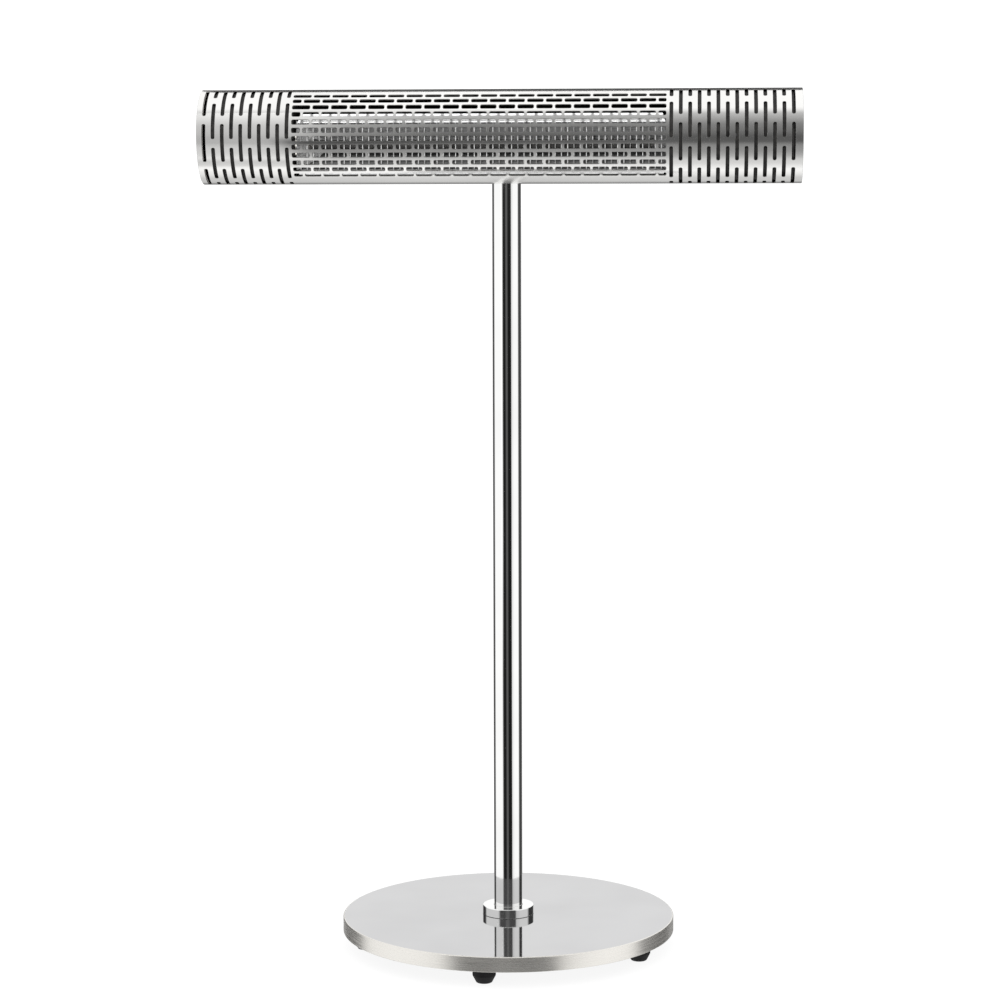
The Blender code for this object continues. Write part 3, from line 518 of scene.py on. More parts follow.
def back_holes():
    """Round holes for the gland and the bracket's screws."""
    holes = [(GLAND_HOLE[0], GLAND_HOLE[1], *[GLAND_HOLE[2]] * 3)]
    for x in (-SCREW_X, SCREW_X):
        for angle in (pi - SCREW_ANGLE, pi + SCREW_ANGLE):
            holes.append((x, angle, SCREW_HOLE, SCREW_HOLE, SCREW_HOLE))
    return holes


def slot_loop(slot, grow):
    """Points round a slot, (x, arc) with the direction into the opening, for an edge moved out by grow."""
    x, angle, half_x, half_arc, corner = slot
    corner = min(corner, 0.98 * half_x, 0.98 * half_arc)
    straight = 2 * (half_arc - corner)
    divisions = max(1, ceil(straight / (HEAD_RADIUS * SHEET_STEP)))
    loop = []
    for quarter in range(4):
        side_x = 1 if quarter in (0, 3) else -1
        side_arc = 1 if quarter in (0, 1) else -1
        centre = (x + side_x * (half_x - corner), HEAD_RADIUS * angle + side_arc * (half_arc - corner))
        for step in range(4):
            turn = pi / 2 * (quarter + step / 3)
            out = Vector((cos(turn), sin(turn)))
            loop.append((centre[0] + (corner + grow) * out.x, centre[1] + (corner + grow) * out.y, -out))
        if quarter in (1, 3):
            start, out = loop[-1], Vector((side_x, 0))
            for step in range(1, divisions):
                arc = start[1] - side_arc * straight * step / divisions
                loop.append((start[0], arc, -out))
    return loop


def on_shell(x, arc, radius):
    angle = arc / HEAD_RADIUS
    return HEAD + Vector((x, -radius * cos(angle), radius * sin(angle)))


def growing_arc(arc):
    """The direction of growing arc at a place on the shell."""
    angle = arc / HEAD_RADIUS
    return Vector((0, sin(angle), cos(angle)))


def sheet_triangles(loops, end_x):
    """Triangles between the slots of the unrolled sheet, with even points over its plain areas."""
    around = round(tau / SHEET_STEP)
    lines = [SEAM * HEAD_RADIUS + HEAD_RADIUS * SHEET_STEP * number for number in range(around + 1)]
    columns = [-end_x, *[GRID * number for number in range(-32, 33)], end_x]
    boxes = []
    for loop in loops:
        xs, arcs = [p[0] for p in loop], [p[1] for p in loop]
        boxes.append((min(xs) - SLOT_MARGIN, max(xs) + SLOT_MARGIN,
                      min(arcs) - SLOT_MARGIN, max(arcs) + SLOT_MARGIN))

    def is_plain(x, arc):
        """Whether the point is on the sheet's border, or clear of every slot."""
        return x in (-end_x, end_x) or arc in (lines[0], lines[-1]) or not any(
            left < x < right and low < arc < high for left, right, low, high in boxes)

    coordinates = [Vector((x, arc)) for x in columns for arc in lines if is_plain(x, arc)]
    holes, edges = [], []
    for loop in loops:
        first = len(coordinates)
        coordinates += [Vector(p[:2]) for p in loop]
        ring = list(range(first, len(coordinates)))
        holes.append(ring)
        edges += list(zip(ring, ring[1:] + ring[:1]))
    places, _, faces, origins, _, owners = delaunay_2d_cdt(coordinates, edges, holes, 0, 1e-7)
    number_of = {source: made for made, sources in enumerate(origins) for source in sources}
    solid = [face for face, owner in zip(faces, owners) if not owner]
    return places, solid, [[number_of[n] for n in ring] for ring in holes]


def build_shell(materials):
    """The slotted tube: two skins, rounded slot edges and slot walls, with true round normals."""
    outer_kind, inner_kind, wall_kind = range(len(materials))
    slots = end_slots() + row_slots() + back_holes()
    end_x = HEAD_LENGTH / 2
    lead = EDGE_ROUNDING
    points, faces, kinds, wall_normals = [], [], [], {}

    def add_skin(loops, radius, half_length, kind):
        places, triangles, rings = sheet_triangles(loops, half_length)
        seam_of, index_of = {}, []
        for place in places:
            key = round(place.x * 1e6)
            if abs(place.y - (SEAM + tau) * HEAD_RADIUS) < 1e-6 and key in seam_of:
                index_of.append(seam_of[key])
                continue
            if abs(place.y - SEAM * HEAD_RADIUS) < 1e-6:
                seam_of[key] = len(points)
            index_of.append(len(points))
            points.append(on_shell(place.x, place.y, radius))
        for triangle in triangles:
            corners = [index_of[n] for n in triangle]
            faces.append(corners[::-1] if kind == inner_kind else corners)
            kinds.append(kind)
        ends = []
        for side in (-half_length, half_length):
            row = sorted((place.y, index_of[n]) for n, place in enumerate(places)
                         if abs(place.x - side) < 1e-6)
            ends.append([number for _, number in row[:-1]])
        return [[index_of[n] for n in ring] for ring in rings], ends

    wall_loops = [slot_loop(slot, 0) for slot in slots]
    outer_rings, outer_ends = add_skin([slot_loop(slot, lead) for slot in slots], HEAD_RADIUS,
                                       end_x - lead, outer_kind)
    inner_rings, inner_ends = add_skin(wall_loops, HEAD_RADIUS - SHELL_WALL, end_x, inner_kind)

    def add_walls(*rings):
        for first, second in zip(rings, rings[1:]):
            for here, after in zip(range(len(first)), [*range(1, len(first)), 0]):
                faces.append([first[here], first[after], second[after], second[here]])
                kinds.append(wall_kind)

    for loop, outer, inner in zip(wall_loops, outer_rings, inner_rings):
        middle = []
        for (x, arc, into), inside in zip(loop, inner):
            middle.append(len(points))
            points.append(on_shell(x, arc, HEAD_RADIUS - lead))
            wall_normals[middle[-1]] = wall_normals[inside] = into.x * RIGHT + into.y * growing_arc(arc)
        add_walls(outer, middle, inner)
    for side, outer, inner in zip((-1, 1), outer_ends, inner_ends):
        middle = []
        for number in outer:
            arc = HEAD_RADIUS * atan2(points[number].z - HEAD.z, HEAD.y - points[number].y)
            middle.append(len(points))
            points.append(on_shell(side * end_x, arc, HEAD_RADIUS - lead))
        for number in middle + inner:
            wall_normals[number] = side * RIGHT
        add_walls(*[ring[::-side] for ring in (outer, middle, inner)])

    mesh = bpy.data.meshes.new("slotted_tube")
    mesh.from_pydata(points, [], faces)
    mesh.shade_smooth()
    normals = []
    for face, kind in zip(faces, kinds):
        for number in face:
            outward = points[number] - HEAD
            outward.x = 0
            outward.normalize()
            if kind == wall_kind:
                normals.append(wall_normals.get(number, outward))
            else:
                normals.append(-outward if kind == inner_kind else outward)
    mesh.normals_split_custom_set(normals)
    mesh.polygons.foreach_set("material_index", kinds)
    add_mesh("slotted_tube", mesh, "head", materials, ["slotted_shell"])


# Base and fixed mast ------------

def build_base(top, rim, rubber):
    wall = 0.0015
    lip = 0.0006
    inner = BASE_RADIUS - wall
    hole = 0.0070
    outline = rounded([(hole, BASE_TOP), (BASE_RADIUS, BASE_TOP, 0.0018), (BASE_RADIUS, RIM_BOTTOM, lip),
                       (inner, RIM_BOTTOM, lip), (inner, BASE_TOP - wall, lip), (hole, BASE_TOP - wall)], 6)
    shape = turn_solid(outline, Matrix(), 256)
    for face in shape.faces:
        lowest = min(corner.co.z for corner in face.verts)
        face.material_index = 0 if lowest > BASE_TOP - TOLERANCE else 1
    add_piece("base_disc", shape, "stand", [top, rim], ["base_cover"])

    foot_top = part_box("foot_1")[1].z - 0.006
    sole = [(0, 0.0009), (0.0048, 0.0009, 0.0003), (0.0056, 0, 0.0004), (0.0103, 0, 0.0026),
            (0.0155, 0.0100, 0.0040), (0.0155, foot_top, 0.0008), (0.0030, foot_top),
            (0.0030, foot_top + 0.0060, 0.0006), (0, foot_top + 0.0060)]
    for number in range(FOOT_COUNT):
        angle = FIRST_FOOT_ANGLE + tau * number / FOOT_COUNT
        spot = Matrix.Translation((FOOT_CIRCLE * cos(angle), FOOT_CIRCLE * sin(angle), 0))
        turned(f"rubber_foot_{number + 1}", sole, spot, "stand", rubber,
               [f"foot_{number + 1}"], 64)


def build_tube(name, node, body, material, radius):
    """A polished mast tube with eased ends, between the heights of its node."""
    low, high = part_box(node)
    wall = 0.0015
    ease = 0.0003
    corners = [(radius, low.z, ease), (radius, high.z, ease), (radius - wall, high.z, ease),
               (radius - wall, low.z, ease)]
    turned(name, corners, Matrix(), body, material, [node], 128)


def build_flange(material):
    low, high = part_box("pole_flange")
    bore = 0.0198
    radius = 0.0354
    corners = [(bore, low.z), (radius, low.z, 0.0005), (radius, high.z, 0.0012), (bore, high.z, 0.0006)]
    turned("mast_foot_ring", corners, Matrix(), "stand", material, ["pole_flange"], 160,
           steps=6)


def build_lock_ring(node, material, tube_radius, inner_radius, collar_top):
    """A clamping ring with a fine straight knurl between two plain bands."""
    low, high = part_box(node)
    bore = tube_radius + 0.0030
    outside = bore + 0.0030
    shoulder = inner_radius + GAP
    knurl_low, knurl_high = low.z + 0.0042, high.z - 0.0055
    groove = 0.0006
    neck, band = outside - groove, outside - 0.0001
    teeth, tooth_depth = 72, 0.00028
    corners = [(bore, low.z, 0.0004), (outside, low.z, 0.0008), (outside, knurl_low - groove, 0.0002),
               (neck, knurl_low - groove), (neck, knurl_low), (band, knurl_low), (band, knurl_high),
               (neck, knurl_high), (neck, knurl_high + groove), (outside, knurl_high + groove, 0.0002),
               (outside, high.z, 0.0015), (shoulder, high.z, 0.0006), (shoulder, collar_top),
               (bore, collar_top)]

    def knurl(angle, radius):
        depth = tooth_depth if abs(radius - band) < TOLERANCE else 0
        return radius - depth * (0.5 - 0.5 * cos(teeth * angle))

    turned(f"{node}_knurled", corners, Matrix(), node, material, [node], 6 * teeth,
           knurl)


# Swivel and tilt ------------

TILT_BORE = 0.0043
NOSE = 0.010                 # radius of the yoke's tongue and the saddle's ears round the pivot
HALF_TURN_STEPS = 24


def half_round(a, b, start):
    """Points round the half circle of a nose, from the start angle on."""
    angles = [start + pi * step / HALF_TURN_STEPS for step in range(HALF_TURN_STEPS + 1)]
    return [(a + NOSE * cos(angle), b + NOSE * sin(angle)) for angle in angles]


def pivot_hole():
    """The shape of the tilt bolt's hole."""
    return cylinder(TILT_BORE, -0.02, 0.02, along(RIGHT, PIVOT), 48)


def build_yoke(material, screw_material):
    low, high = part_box("yoke")
    radius = 0.0175
    bore = 0.0128
    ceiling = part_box("upper_tube")[1].z + GAP
    corners = [(bore, low.z, 0.0004), (radius, low.z, 0.0008), (radius, high.z, 0.0040), (0, high.z),
               (0, ceiling), (bore, ceiling)]
    body = turn_solid(rounded(corners, 6), Matrix(), 96)
    root, half_width = -0.0145, 0.006
    outline = half_round(PIVOT.y, PIVOT.z, pi / 2) + [(root, PIVOT.z - NOSE), (root, PIVOT.z + NOSE)]
    across = Matrix(((0, 0, 1, 0), (1, 0, 0, 0), (0, 1, 0, 0), (0, 0, 0, 1)))
    joined = combined(body, prism(outline, across, -half_width, half_width), "UNION")
    add_piece("yoke_socket", combined(joined, pivot_hole()), "yoke", material, ["yoke"])

    low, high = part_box("swivel_screw")
    place = along(BACK, (0, 0, (low.z + high.z) / 2))
    socketed_screw("swivel_set_screw", [(0, low.y), (0.0030, low.y, 0.0003), (0.0030, high.y, 0.0004),
                                        (0, high.y)],
                   place, high.y, 0.0015, "yoke", screw_material, "swivel_screw")


def socketed_screw(name, corners, place, top, socket_radius, body, material, node):
    """A screw with a hexagon socket sunk into the end at the given height along its axis."""
    screw = turn_solid(rounded(corners), place, 48)
    inward = -1 if top > 0 else 1
    low, high = sorted((top - inward * 0.001, top + inward * 1.2 * socket_radius))
    shape = combined(screw, cylinder(socket_radius, low, high, place, 6))
    add_piece(name, shape, body, material, [node])


def build_bracket(material, screw_material):
    """A curved saddle with rounded corners and two ears, four screws and the tilt bolt."""
    inside = HEAD_RADIUS + GAP
    outside = inside + 0.003
    half_angle = radians(35)
    half_width = 0.030
    steps = 48
    arc = [-half_angle + 2 * half_angle * step / steps for step in range(steps + 1)]
    outline = [(outside * cos(a), outside * sin(a)) for a in arc]
    outline += [(inside * cos(a), inside * sin(a)) for a in reversed(arc)]
    axes = Matrix(((0, 0, 1, HEAD.x), (1, 0, 0, HEAD.y), (0, 1, 0, HEAD.z), (0, 0, 0, 1)))
    shape = prism(outline, axes, -half_width, half_width)
    root = (inside + outside) / 2
    spread_angle = radians(16)
    ear = half_round(PIVOT.y - HEAD.y, 0, -pi / 2)
    ear += [(root * cos(spread_angle), root * sin(spread_angle)), (root, 0),
            (root * cos(spread_angle), -root * sin(spread_angle))]
    for low in (-0.0093, 0.0063):
        shape = combined(shape, prism(ear, axes, low, low + 0.003), "UNION")
    bracket = add_piece("bracket_saddle", combined(shape, pivot_hole()), "head", material,
                        ["head_bracket"])
    bracket.modifiers.clear()
    soften(bracket, 0.0005)

    seat = outside + GAP
    screw = [(0, 0.0560), (0.0025, 0.0560, 0.0003), (0.0025, seat), (0.0047, seat, 0.0003),
             (0.0047, seat + 0.0020, 0.0010), (0, seat + 0.0028)]
    places = [(x, angle) for x in (-SCREW_X, SCREW_X) for angle in (-SCREW_ANGLE, SCREW_ANGLE)]
    for number, (x, angle) in enumerate(places, start=1):
        place = along((0, cos(angle), sin(angle)), HEAD + x * RIGHT)
        socketed_screw(f"saddle_screw_{number}", screw, place, seat + 0.0028, 0.0016, "head",
                       screw_material, f"bracket_screw_{number}")

    face = -0.0096
    place = along(RIGHT, PIVOT)
    bolt = [(0, 0.0225), (0.0040, 0.0225, 0.0005), (0.0040, face), (0.0080, face, 0.0003),
            (0.0076, face - 0.0030, 0.0022), (0, face - 0.0046)]
    socketed_screw("tilt_pivot_bolt", bolt, place, face - 0.0046, 0.0026, "head", screw_material,
                   "tilt_bolt")
    low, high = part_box("tilt_washer")
    washer = [(TILT_BORE, low.x, 0.0001), (0.0080, low.x, 0.0002), (0.0080, high.x, 0.0005),
              (TILT_BORE, high.x, 0.0002)]
    turned("tilt_pivot_washer", washer, place, "head", screw_material, ["tilt_washer"], 64)


def build_knob(material):
    """A six-lobed hand knob."""
    low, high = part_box("tilt_knob")
    grip = [(TILT_BORE, low.x), (0.0065, low.x, 0.0004), (0.0065, low.x + 0.0035, 0.0010),
            (0.0118, low.x + 0.0035, 0.0015), (0.0128, low.x + 0.0125, 0.0030),
            (0.0080, high.x, 0.0020), (0.0060, high.x, 0.0004), (0.0055, high.x - 0.0006, 0.0004),
            (0, high.x - 0.0006), (0, 0.0228), (TILT_BORE, 0.0228)]

    def lobes(angle, radius):
        share = min(1, max(0, (radius - 0.0085) / 0.004))
        return radius + 0.0009 * share * cos(6 * angle)

    turned("tilt_hand_knob", grip, along(RIGHT, PIVOT), "tilt_knob", material,
           ["tilt_knob"], 144, lobes, steps=6)


# Head ends, gland and switch ------------

def build_caps(material):
    """Pressed end pans with a raised ring; the right one is cut out for the switch."""
    inside = 0.3825
    radius = 0.0597
    depth, web, rim, ridge = 0.0075, 0.0030, 0.0017, 0.0005
    pan = [(0, 0), (radius, 0, 0.0003), (radius, depth, 0.0006), (radius - rim, depth, 0.0006),
           (radius - rim, web, 0.0015), (0.0480, web, 0.0004), (0.0472, web + ridge, 0.0004),
           (0.0440, web + ridge, 0.0004), (0.0432, web, 0.0004), (0, web)]
    turned("cap_left", pan, along(-RIGHT, HEAD - inside * RIGHT), "head", material,
           ["end_cap_left"], 160)
    cap = turn_solid(rounded(pan), along(RIGHT, HEAD + inside * RIGHT), 160)
    half_y, half_z = 0.0113, 0.0068
    outline = rounded([(z, y, 0.0004) for z, y in ((-half_z, -half_y), (half_z, -half_y),
                                                   (half_z, half_y), (-half_z, half_y))])
    axes = Matrix(((0, 0, 1, HEAD.x), (0, 1, 0, HEAD.y), (1, 0, 0, HEAD.z), (0, 0, 0, 1)))
    opening = prism(outline, axes, inside - 0.01, inside + 0.02)
    add_piece("cap_right", combined(cap, opening), "head", material, ["end_cap_right"])


def build_gland(material):
    place = along(BACK, HEAD + GLAND_HOLE[0] * RIGHT)
    bore = 0.0040
    seat = HEAD_RADIUS + GAP
    body = [(bore, 0.0440), (0.0075, 0.0440, 0.0004), (0.0075, seat), (0.0110, seat, 0.0002),
            (0.0110, seat + 0.004, 0.0005), (0.0068, seat + 0.004), (0.0068, seat + 0.010, 0.0003),
            (bore, seat + 0.010, 0.0003)]

    def hexagon(angle, radius):
        folded = (angle % (pi / 3)) - pi / 6
        return radius * cos(pi / 6) / cos(folded) if radius > 0.0095 else radius

    turned("gland_body", body, place, "head", material, ["cable_gland"], 96, hexagon)
    low = seat + 0.004 + GAP
    cap = [(0.0071, low), (0.0100, low, 0.0005), (0.0100, low + 0.007, 0.0015),
           (0.0068, low + 0.012, 0.0012), (bore, low + 0.012, 0.0006), (bore, low + 0.0065),
           (0.0071, low + 0.0065)]

    def flutes(angle, radius):
        share = min(1, max(0, (radius - 0.0080) / 0.0015))
        return radius - 0.0004 * share * (0.5 - 0.5 * cos(12 * angle)) ** 2

    turned("gland_dome_nut", cap, place, "head", material, ["gland_cap"], 144, flutes)


# Lamp and guard ------------

def build_lamp(glass, element, insulator):
    """A quartz tube, a coiled carbon element and grooved ceramic bases."""
    low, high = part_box("lamp_tube")
    centre = (low + high) / 2
    place = along(RIGHT, (0, centre.y, centre.z))
    outer, inner = 0.0075, 0.0062
    turned("quartz_tube", [(outer, low.x, 0.0004), (outer, high.x, 0.0004), (inner, high.x, 0.0003),
                           (inner, low.x, 0.0003)], place, "head", glass, ["lamp_tube"], 48)

    start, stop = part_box("lamp_filament")
    coil_radius, wire_radius, pitch, per_turn = 0.0015, 0.0005, 0.006, 12
    turns = (stop.x - start.x) / pitch
    shape = bmesh.new()
    sides = 6
    rings = []
    count = int(turns * per_turn)
    for step in range(count + 1):
        angle = tau * step / per_turn
        out = Vector((0, cos(angle), sin(angle)))
        x = start.x + (stop.x - start.x) * step / count
        middle = Vector((x, centre.y, centre.z)) + coil_radius * out
        slope = pitch / (tau * coil_radius)
        forward = (Vector((0, -sin(angle), cos(angle))) + slope * RIGHT).normalized()
        side = forward.cross(out)
        rings.append([shape.verts.new(middle + wire_radius * (cos(t) * out + sin(t) * side))
                      for t in [tau * number / sides for number in range(sides)]])
    for ring, following in zip(rings, rings[1:]):
        join_rings(shape, ring, following)
    shape.faces.new(rings[0])
    shape.faces.new(rings[-1])
    add_piece("carbon_coil", shape, "head", element, ["lamp_filament"], sharp=65)

    for label, outwards in (("left", -1), ("right", 1)):
        node = f"lamp_base_{label}"
        base_low, base_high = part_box(node)
        ends = (base_low.x, base_high.x) if outwards > 0 else (base_high.x, base_low.x)
        shoulder = ends[0] + outwards * 0.0060
        groove = (shoulder + ends[1]) / 2
        corners = [(0, ends[0]), (0.0059, ends[0], 0.0003), (0.0059, shoulder), (outer, shoulder, 0.0004),
                   (outer, groove - outwards * 0.0010), (outer - 0.0006, groove - outwards * 0.0006),
                   (outer - 0.0006, groove + outwards * 0.0006), (outer, groove + outwards * 0.0010),
                   (outer, ends[1], 0.0006), (0, ends[1])]
        turned(f"lamp_cap_{label}", corners, place, "head", insulator, [node], 48)


MOUTH = Vector((0, -0.036, -0.011))      # middle of the trough's mouth, from the head's axis
TROUGH_EDGES = (-0.0325, 0.0290)         # bottom and top of the mouth, from its middle
TROUGH_DEPTH = 0.032
TROUGH_SHEET = 0.001
TROUGH_ENDS = ((-0.262, 1.0), (0.214, -0.8))     # place at the mouth, and lean per metre of depth
FLANGES = ((0.0056, radians(22)), (0.0120, radians(20)))     # reach and backward lean, bottom and top
BEND_DEPTH = 0.0022                      # where a flange's back meets the trough's, behind the mouth
BEND_OUT = 1.6 * TROUGH_SHEET


def build_trough(inner_material, flange_material):
    """A parabolic trough with leaning ends, and flanges that are bent back."""
    steps = 40
    bottom, top = TROUGH_EDGES
    middle, half = (bottom + top) / 2, (top - bottom) / 2
    front, back = [], []
    for step in range(steps + 1):
        share = 2 * step / steps - 1
        depth = TROUGH_DEPTH * (1 - share ** 2)
        slope = 2 * TROUGH_DEPTH * share / half
        thickness = TROUGH_SHEET / hypot(1, slope)
        front.append((depth, middle + share * half))
        if depth > BEND_DEPTH:
            back.append((depth + thickness, middle + share * half + slope * thickness))
    tips = []
    for edge, side, (reach, lean) in zip((bottom, top), (-1, 1), FLANGES):
        tips.append((reach * sin(lean), edge + side * reach * cos(lean)))
    outline = [tips[0], *front, tips[1], (tips[1][0] + TROUGH_SHEET, tips[1][1]),
               (BEND_DEPTH, top + BEND_OUT), *reversed(back), (BEND_DEPTH, bottom - BEND_OUT),
               (tips[0][0] + TROUGH_SHEET, tips[0][1])]
    shape = bmesh.new()
    ends = [[shape.verts.new(HEAD + MOUTH + Vector((place + lean * depth, depth, height)))
             for depth, height in outline] for place, lean in TROUGH_ENDS]
    shape.faces.new(ends[0])
    shape.faces.new(reversed(ends[1]))
    for number, face in enumerate(join_rings(shape, *ends)):
        face.material_index = 0 if 1 <= number <= steps else 1
    add_piece("reflector_trough", shape, "head", [inner_material, flange_material],
              ["reflector"])


def build_guard(material):
    """Upright spring wires between two rails, in front of the reflector's mouth."""
    low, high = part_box("wire_guard")
    y = (low.y + high.y) / 2
    rail_radius, wire_radius, pitch = 0.0008, 0.00055, 0.008
    shape = bmesh.new()
    for z in (low.z + rail_radius, high.z - rail_radius):
        add_rod(shape, (low.x, y, z), (high.x, y, z), rail_radius)
    count = round((high.x - low.x) / pitch)
    for number in range(count + 1):
        x = low.x + wire_radius + (high.x - low.x - 2 * wire_radius) * number / count
        add_rod(shape, (x, y - wire_radius, low.z), (x, y - wire_radius, high.z), wire_radius)
    add_piece("guard_wires", shape, "head", material, ["wire_guard"], sharp=50)


# Carried-over nodes ------------

def dress(material, nodes, edge=0):
    """Gives CAD nodes a material, and rounds their edges where an edge radius is given."""
    for node in nodes:
        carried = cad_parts[node]
        carried.data.materials.clear()
        carried.data.materials.append(material)
        if edge:
            soften(carried, edge)


# Studio ------------

def build_camera():
    """The photographer's place: in front, a little to the right, just below the head."""
    yaw, pitch, roll = radians(-3.84), radians(6.53), radians(-0.16)
    data = bpy.data.cameras.new("camera")
    data.lens = 102.5
    data.clip_end = 200
    camera = place_object("camera", data)
    forward = Vector((sin(yaw) * cos(pitch), cos(yaw) * cos(pitch), -sin(pitch)))
    level = Vector((cos(yaw), -sin(yaw), 0))
    up = level.cross(forward)
    side = cos(roll) * level + sin(roll) * up
    top = cos(roll) * up - sin(roll) * level
    turn = Matrix((side, top, -forward)).transposed().to_4x4()
    camera.matrix_world = Matrix.Translation(CAMERA_PLACE) @ turn
    bpy.context.scene.camera = camera


def studio_sheet(name, corners, material):
    """A flat piece of the studio, with four corners."""
    mesh = bpy.data.meshes.new(name)
    mesh.from_pydata(corners, [], [(0, 1, 2, 3)])
    mesh.materials.append(material)
    sheet = place_object(name, mesh)
    return sheet


def build_floor():
    """A plain pale floor, left out of the metal's reflections so that it doesn't grey them."""
    half = FLOOR_SIZE / 2
    paper = principled("floor_paper", grey(0.15), 0.0, 0.9, Specular_IOR_Level=0.0,
                       Emission_Color=(1, 1, 1, 1), Emission_Strength=0.90)
    corners = [(-half, -half, 0), (half, -half, 0), (half, half, 0), (-half, half, 0)]
    studio_sheet("floor", corners, paper).visible_glossy = False


FLOOR_SIZE = 120
SPOT_PLACE = Vector((-0.02, -2.5, 2.3))
CAMERA_PLACE = Vector((0.2480, -3.8442, 1.0579))
STUDIO_WHITE = 1.16
# Brightness of what stands round the object, by degrees to the right of the camera's side
FRONT_FLAG = [(-180, 1.0), (-42, 1.0), (-32, 0.02), (-11, 0.01), (-4, 0.10), (5, 0.10), (12, 0.01),
              (35, 0.01), (41, 0.8), (60, 1.0), (180, 1.0)]
SIDE_FLAGS = [(-180, 1.0), (-160, 1.0), (-150, 0.06), (-122, 0.06), (-110, 1.0), (98, 1.0), (110, 0.06),
              (150, 0.06), (160, 1.0), (180, 1.0)]
REAR_FLAG = [(-180, 0.25), (-160, 0.25), (-150, 1.0), (150, 1.0), (160, 0.25), (180, 0.25)]
# How far the flags turn white, by degrees above the horizon
FRONT_FADE = [(-90, 0.95), (-80, 0.85), (-70, 0.66), (-60, 0.60), (-50, 0.36), (-38, 0.22), (-25, 0.18),
              (-18, 0.08), (-15, 0.0), (-2, 0.0), (10, 0.07), (28, 0.14), (40, 0.28), (56, 0.47),
              (64, 0.80), (70, 1.0), (90, 1.0)]
SIDE_FADE = [(-90, 1.0), (-30, 1.0), (-20, 0.0), (20, 0.0), (30, 1.0), (90, 1.0)]
REAR_FADE = [(-90, 1.0), (-36, 1.0), (-28, 0.0), (1, 0.0), (8, 1.0), (90, 1.0)]
# Brightness of what lies behind and below, by degrees above the horizon
UNDER_BACK = [(-90, 1.0), (-75, 0.85), (-60, 0.62), (-34, 0.55), (-28, 1.0), (90, 1.0)]


def ramp_of(owner, factor, stops, lowest, highest):
    """A brightness that follows the stops as an angle or place goes from lowest to highest."""
    made = add_node(owner, "ShaderNodeValToRGB", Fac=factor)
    elements = made.color_ramp.elements
    while len(elements) < len(stops):
        elements.new(0.5)
    for element, (place, brightness) in zip(elements, stops):
        element.position = (place - lowest) / (highest - lowest)
        element.color = (*grey(brightness), 1)
    return made.outputs["Color"]


def combine_numbers(owner, operation, first, second=None):
    made = add_node(owner, "ShaderNodeMath")
    made.operation = operation
    for socket, value in zip(made.inputs, (first, second)):
        if isinstance(value, (int, float)):
            socket.default_value = value
        elif value is not None:
            owner.node_tree.links.new(value, socket)
    return made.outputs["Value"]


def build_spotlight():
    """A light from above the camera that reaches in through the slots; polished metal doesn't show it."""
    data = bpy.data.lights.new("inside_light", "SPOT")
    data.energy = 500
    data.spot_size = radians(22)
    data.spot_blend = 0.3
    data.shadow_soft_size = 0.15
    light = place_object("inside_light", data)
    light.matrix_world = along(SPOT_PLACE - HEAD, SPOT_PLACE)
    light.visible_glossy = False


def build_world():
    """A white studio with black flags, which give the polished metal its dark stripes.

    The flags show in reflections only: everything else sees plain white.
    """
    world = bpy.data.worlds.new("studio")
    bpy.context.scene.world = world
    world.use_nodes = True
    world.cycles.sampling_method = "NONE"
    math = partial(combine_numbers, world)

    def flag(stops, fade):
        """A pattern round the object, turned white as the fade says for the height."""
        dark = ramp_of(world, around, stops, -180, 180)
        share = ramp_of(world, upwards, fade, -90, 90)
        return math("ADD", math("MULTIPLY", dark, math("SUBTRACT", 1.0, share)), share)

    source = add_node(world, "ShaderNodeTexCoord").outputs["Generated"]
    direction = add_node(world, "ShaderNodeSeparateXYZ", Vector=source).outputs
    angle = math("ARCTAN2", direction["X"], math("MULTIPLY", direction["Y"], -1.0))
    around = math("ADD", math("DIVIDE", angle, tau), 0.5)
    rise = math("ARCSINE", math("MINIMUM", math("MAXIMUM", direction["Z"], -1.0), 1.0))
    upwards = math("ADD", math("DIVIDE", rise, pi), 0.5)

    flags = math("MULTIPLY", flag(FRONT_FLAG, FRONT_FADE), flag(SIDE_FLAGS, SIDE_FADE))
    rear = flag(REAR_FLAG, REAR_FADE)
    under = ramp_of(world, upwards, UNDER_BACK, -90, 90)
    at_back = math("GREATER_THAN", direction["Y"], 0.0)
    back = math("ADD", math("MULTIPLY", under, at_back), math("SUBTRACT", 1.0, at_back))
    seen = math("MULTIPLY", flags, math("MULTIPLY", rear, back))
    plain = math("SUBTRACT", 1.0, add_node(world, "ShaderNodeLightPath").outputs["Is Glossy Ray"])
    shown = math("MAXIMUM", seen, plain)
    set_inputs(world, world.node_tree.nodes["Background"], Color=(1, 1, 1, 1),
               Strength=math("MULTIPLY", shown, STUDIO_WHITE))


def studio_card(name, y, left, right, low, high, material):
    """An upright card that only reflections see."""
    corners = [(left, y, low), (right, y, low), (right, y, high), (left, y, high)]
    card = studio_sheet(name, corners, material)
    for rays in ("camera", "diffuse", "transmission", "shadow"):
        setattr(card, f"visible_{rays}", False)


def glowing(name, clear):
    """An unlit material, added to what is behind it when it is clear; gives its emission node."""
    made = bpy.data.materials.new(name)
    made.use_nodes = True
    made.cycles.emission_sampling = "NONE"
    made.node_tree.nodes.clear()
    glow = add_node(made, "ShaderNodeEmission")
    surface = glow.outputs["Emission"]
    if clear:
        both = add_node(made, "ShaderNodeAddShader")
        behind = add_node(made, "ShaderNodeBsdfTransparent").outputs["BSDF"]
        for socket, shader in zip(both.inputs, (surface, behind)):
            made.node_tree.links.new(shader, socket)
        surface = both.outputs["Shader"]
    add_node(made, "ShaderNodeOutputMaterial", Surface=surface)
    return made, glow


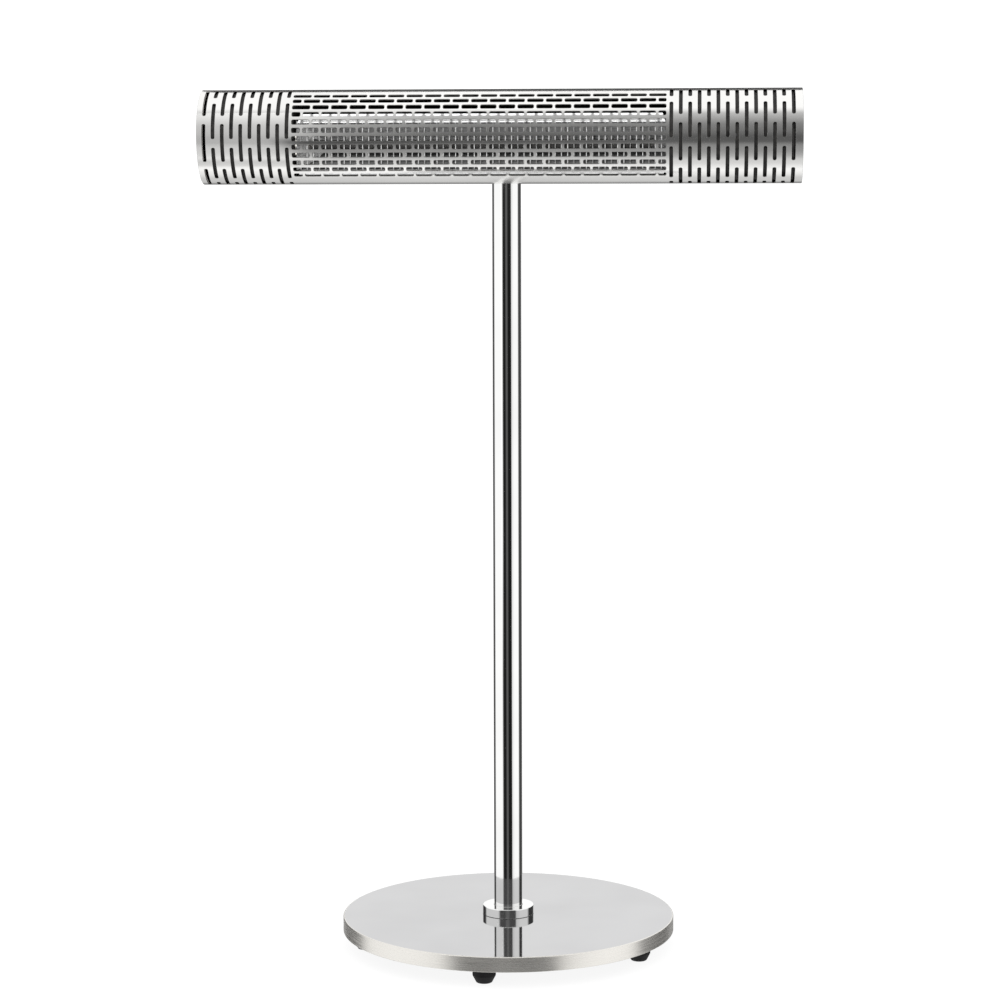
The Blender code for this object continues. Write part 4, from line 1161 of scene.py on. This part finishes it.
# The soft light at the front left: how strong it is along X, all the way up and in its upper part
LEFT_GLOW = [(-0.60, 0.0), (-0.53, 0.50), (-0.36, 0.50), (-0.33, 0.0), (0.0, 0.0)]
UPPER_GLOW = [(-0.60, 0.0), (-0.36, 0.0), (-0.33, 0.50), (-0.25, 0.16), (-0.08, 0.0), (0.0, 0.0)]
UPPER_GLOW_FROM = (1.03, 1.12)
GLOW_FROM = (0.25, 0.50)


def build_cards():
    """A dark card behind the head, and a veil of light before its left end."""
    dark, glow = glowing("dark_card", False)
    glow.inputs["Strength"].default_value = 0.10
    studio_card("back_card", 0.46, -0.50, 0.43, 1.05, 1.65, dark)

    veil, glow = glowing("light_veil", True)
    math = partial(combine_numbers, veil)
    place = place_parts(veil)
    left, right = LEFT_GLOW[0][0], LEFT_GLOW[-1][0]
    share = math("DIVIDE", math("SUBTRACT", place["X"], left), right - left)
    glows = [math("MULTIPLY", ramp_of(veil, share, stops, left, right),
                  spread(veil, place["Z"], 0, 1, *heights))
             for stops, heights in ((LEFT_GLOW, GLOW_FROM), (UPPER_GLOW, UPPER_GLOW_FROM))]
    set_inputs(veil, glow, Strength=math("ADD", *glows))
    studio_card("light_veil", -0.62, left, right, 0.25, 1.95, veil)


# Assembly ------------

def build_heater():
    polished, satin, zinc = polished_steel(), satin_steel(), zinc_steel()
    rubber, plastic, nylon = black_rubber(), black_plastic(), bush_plastic()
    insulator, aluminium, coating = ceramic(), bright_aluminium(), blackened_steel()

    build_base(base_top_steel(), rim_steel(), rubber)
    build_flange(polished)
    build_tube("mast_lower_tube", "lower_tube", "stand", polished, LOWER_RADIUS)
    build_tube("mast_middle_tube", "middle_tube", "middle_mast", polished, MIDDLE_RADIUS)
    build_tube("mast_upper_tube", "upper_tube", "upper_mast", polished, UPPER_RADIUS)
    build_lock_ring("lower_lock_ring", polished, LOWER_RADIUS, MIDDLE_RADIUS, LOWER_COLLAR_TOP)
    build_lock_ring("upper_lock_ring", polished, MIDDLE_RADIUS, UPPER_RADIUS, UPPER_COLLAR_TOP)
    build_yoke(satin, zinc)
    build_bracket(satin, zinc)
    build_knob(plastic)
    build_shell([shell_steel(), shell_inside_shaded_steel(), cut_edge_steel()])
    build_caps(satin)
    build_gland(plastic)
    build_lamp(quartz(), carbon(), insulator)
    build_trough(heated_aluminium_painted_shade(), frosted_aluminium())
    build_guard(guard_wire())

    dress(painted_ballast(), ["ballast_plate"])
    dress(zinc, ["tube_foot_plug", "centre_bolt", "bolt_washer", "lower_ferrule",
                               "upper_ferrule", "tube_head_plug", "backing_plate", "chassis_rail"])
    dress(nylon, ["lower_guide_bush", "middle_guide_bush", "middle_foot_bush",
                                  "upper_foot_bush"])
    dress(nylon, ["terminal_block"], 0.0004)
    dress(aluminium, ["reflector_end_left", "reflector_end_right"])
    dress(coating, ["left_inner_housing", "right_inner_housing"])
    dress(insulator, ["lamp_holder_left", "lamp_holder_right"], 0.0006)
    dress(plastic, ["relay", "tip_over_switch", "remote_receiver"], 0.0003)
    dress(plastic, ["switch_body", "power_rocker"], 0.0004)
    dress(circuit_board(), ["control_board"], 0.0001)


build_heater()
build_camera()
build_floor()
build_world()
build_cards()
build_spotlight()
bpy.context.scene.view_settings.view_transform = "Standard"
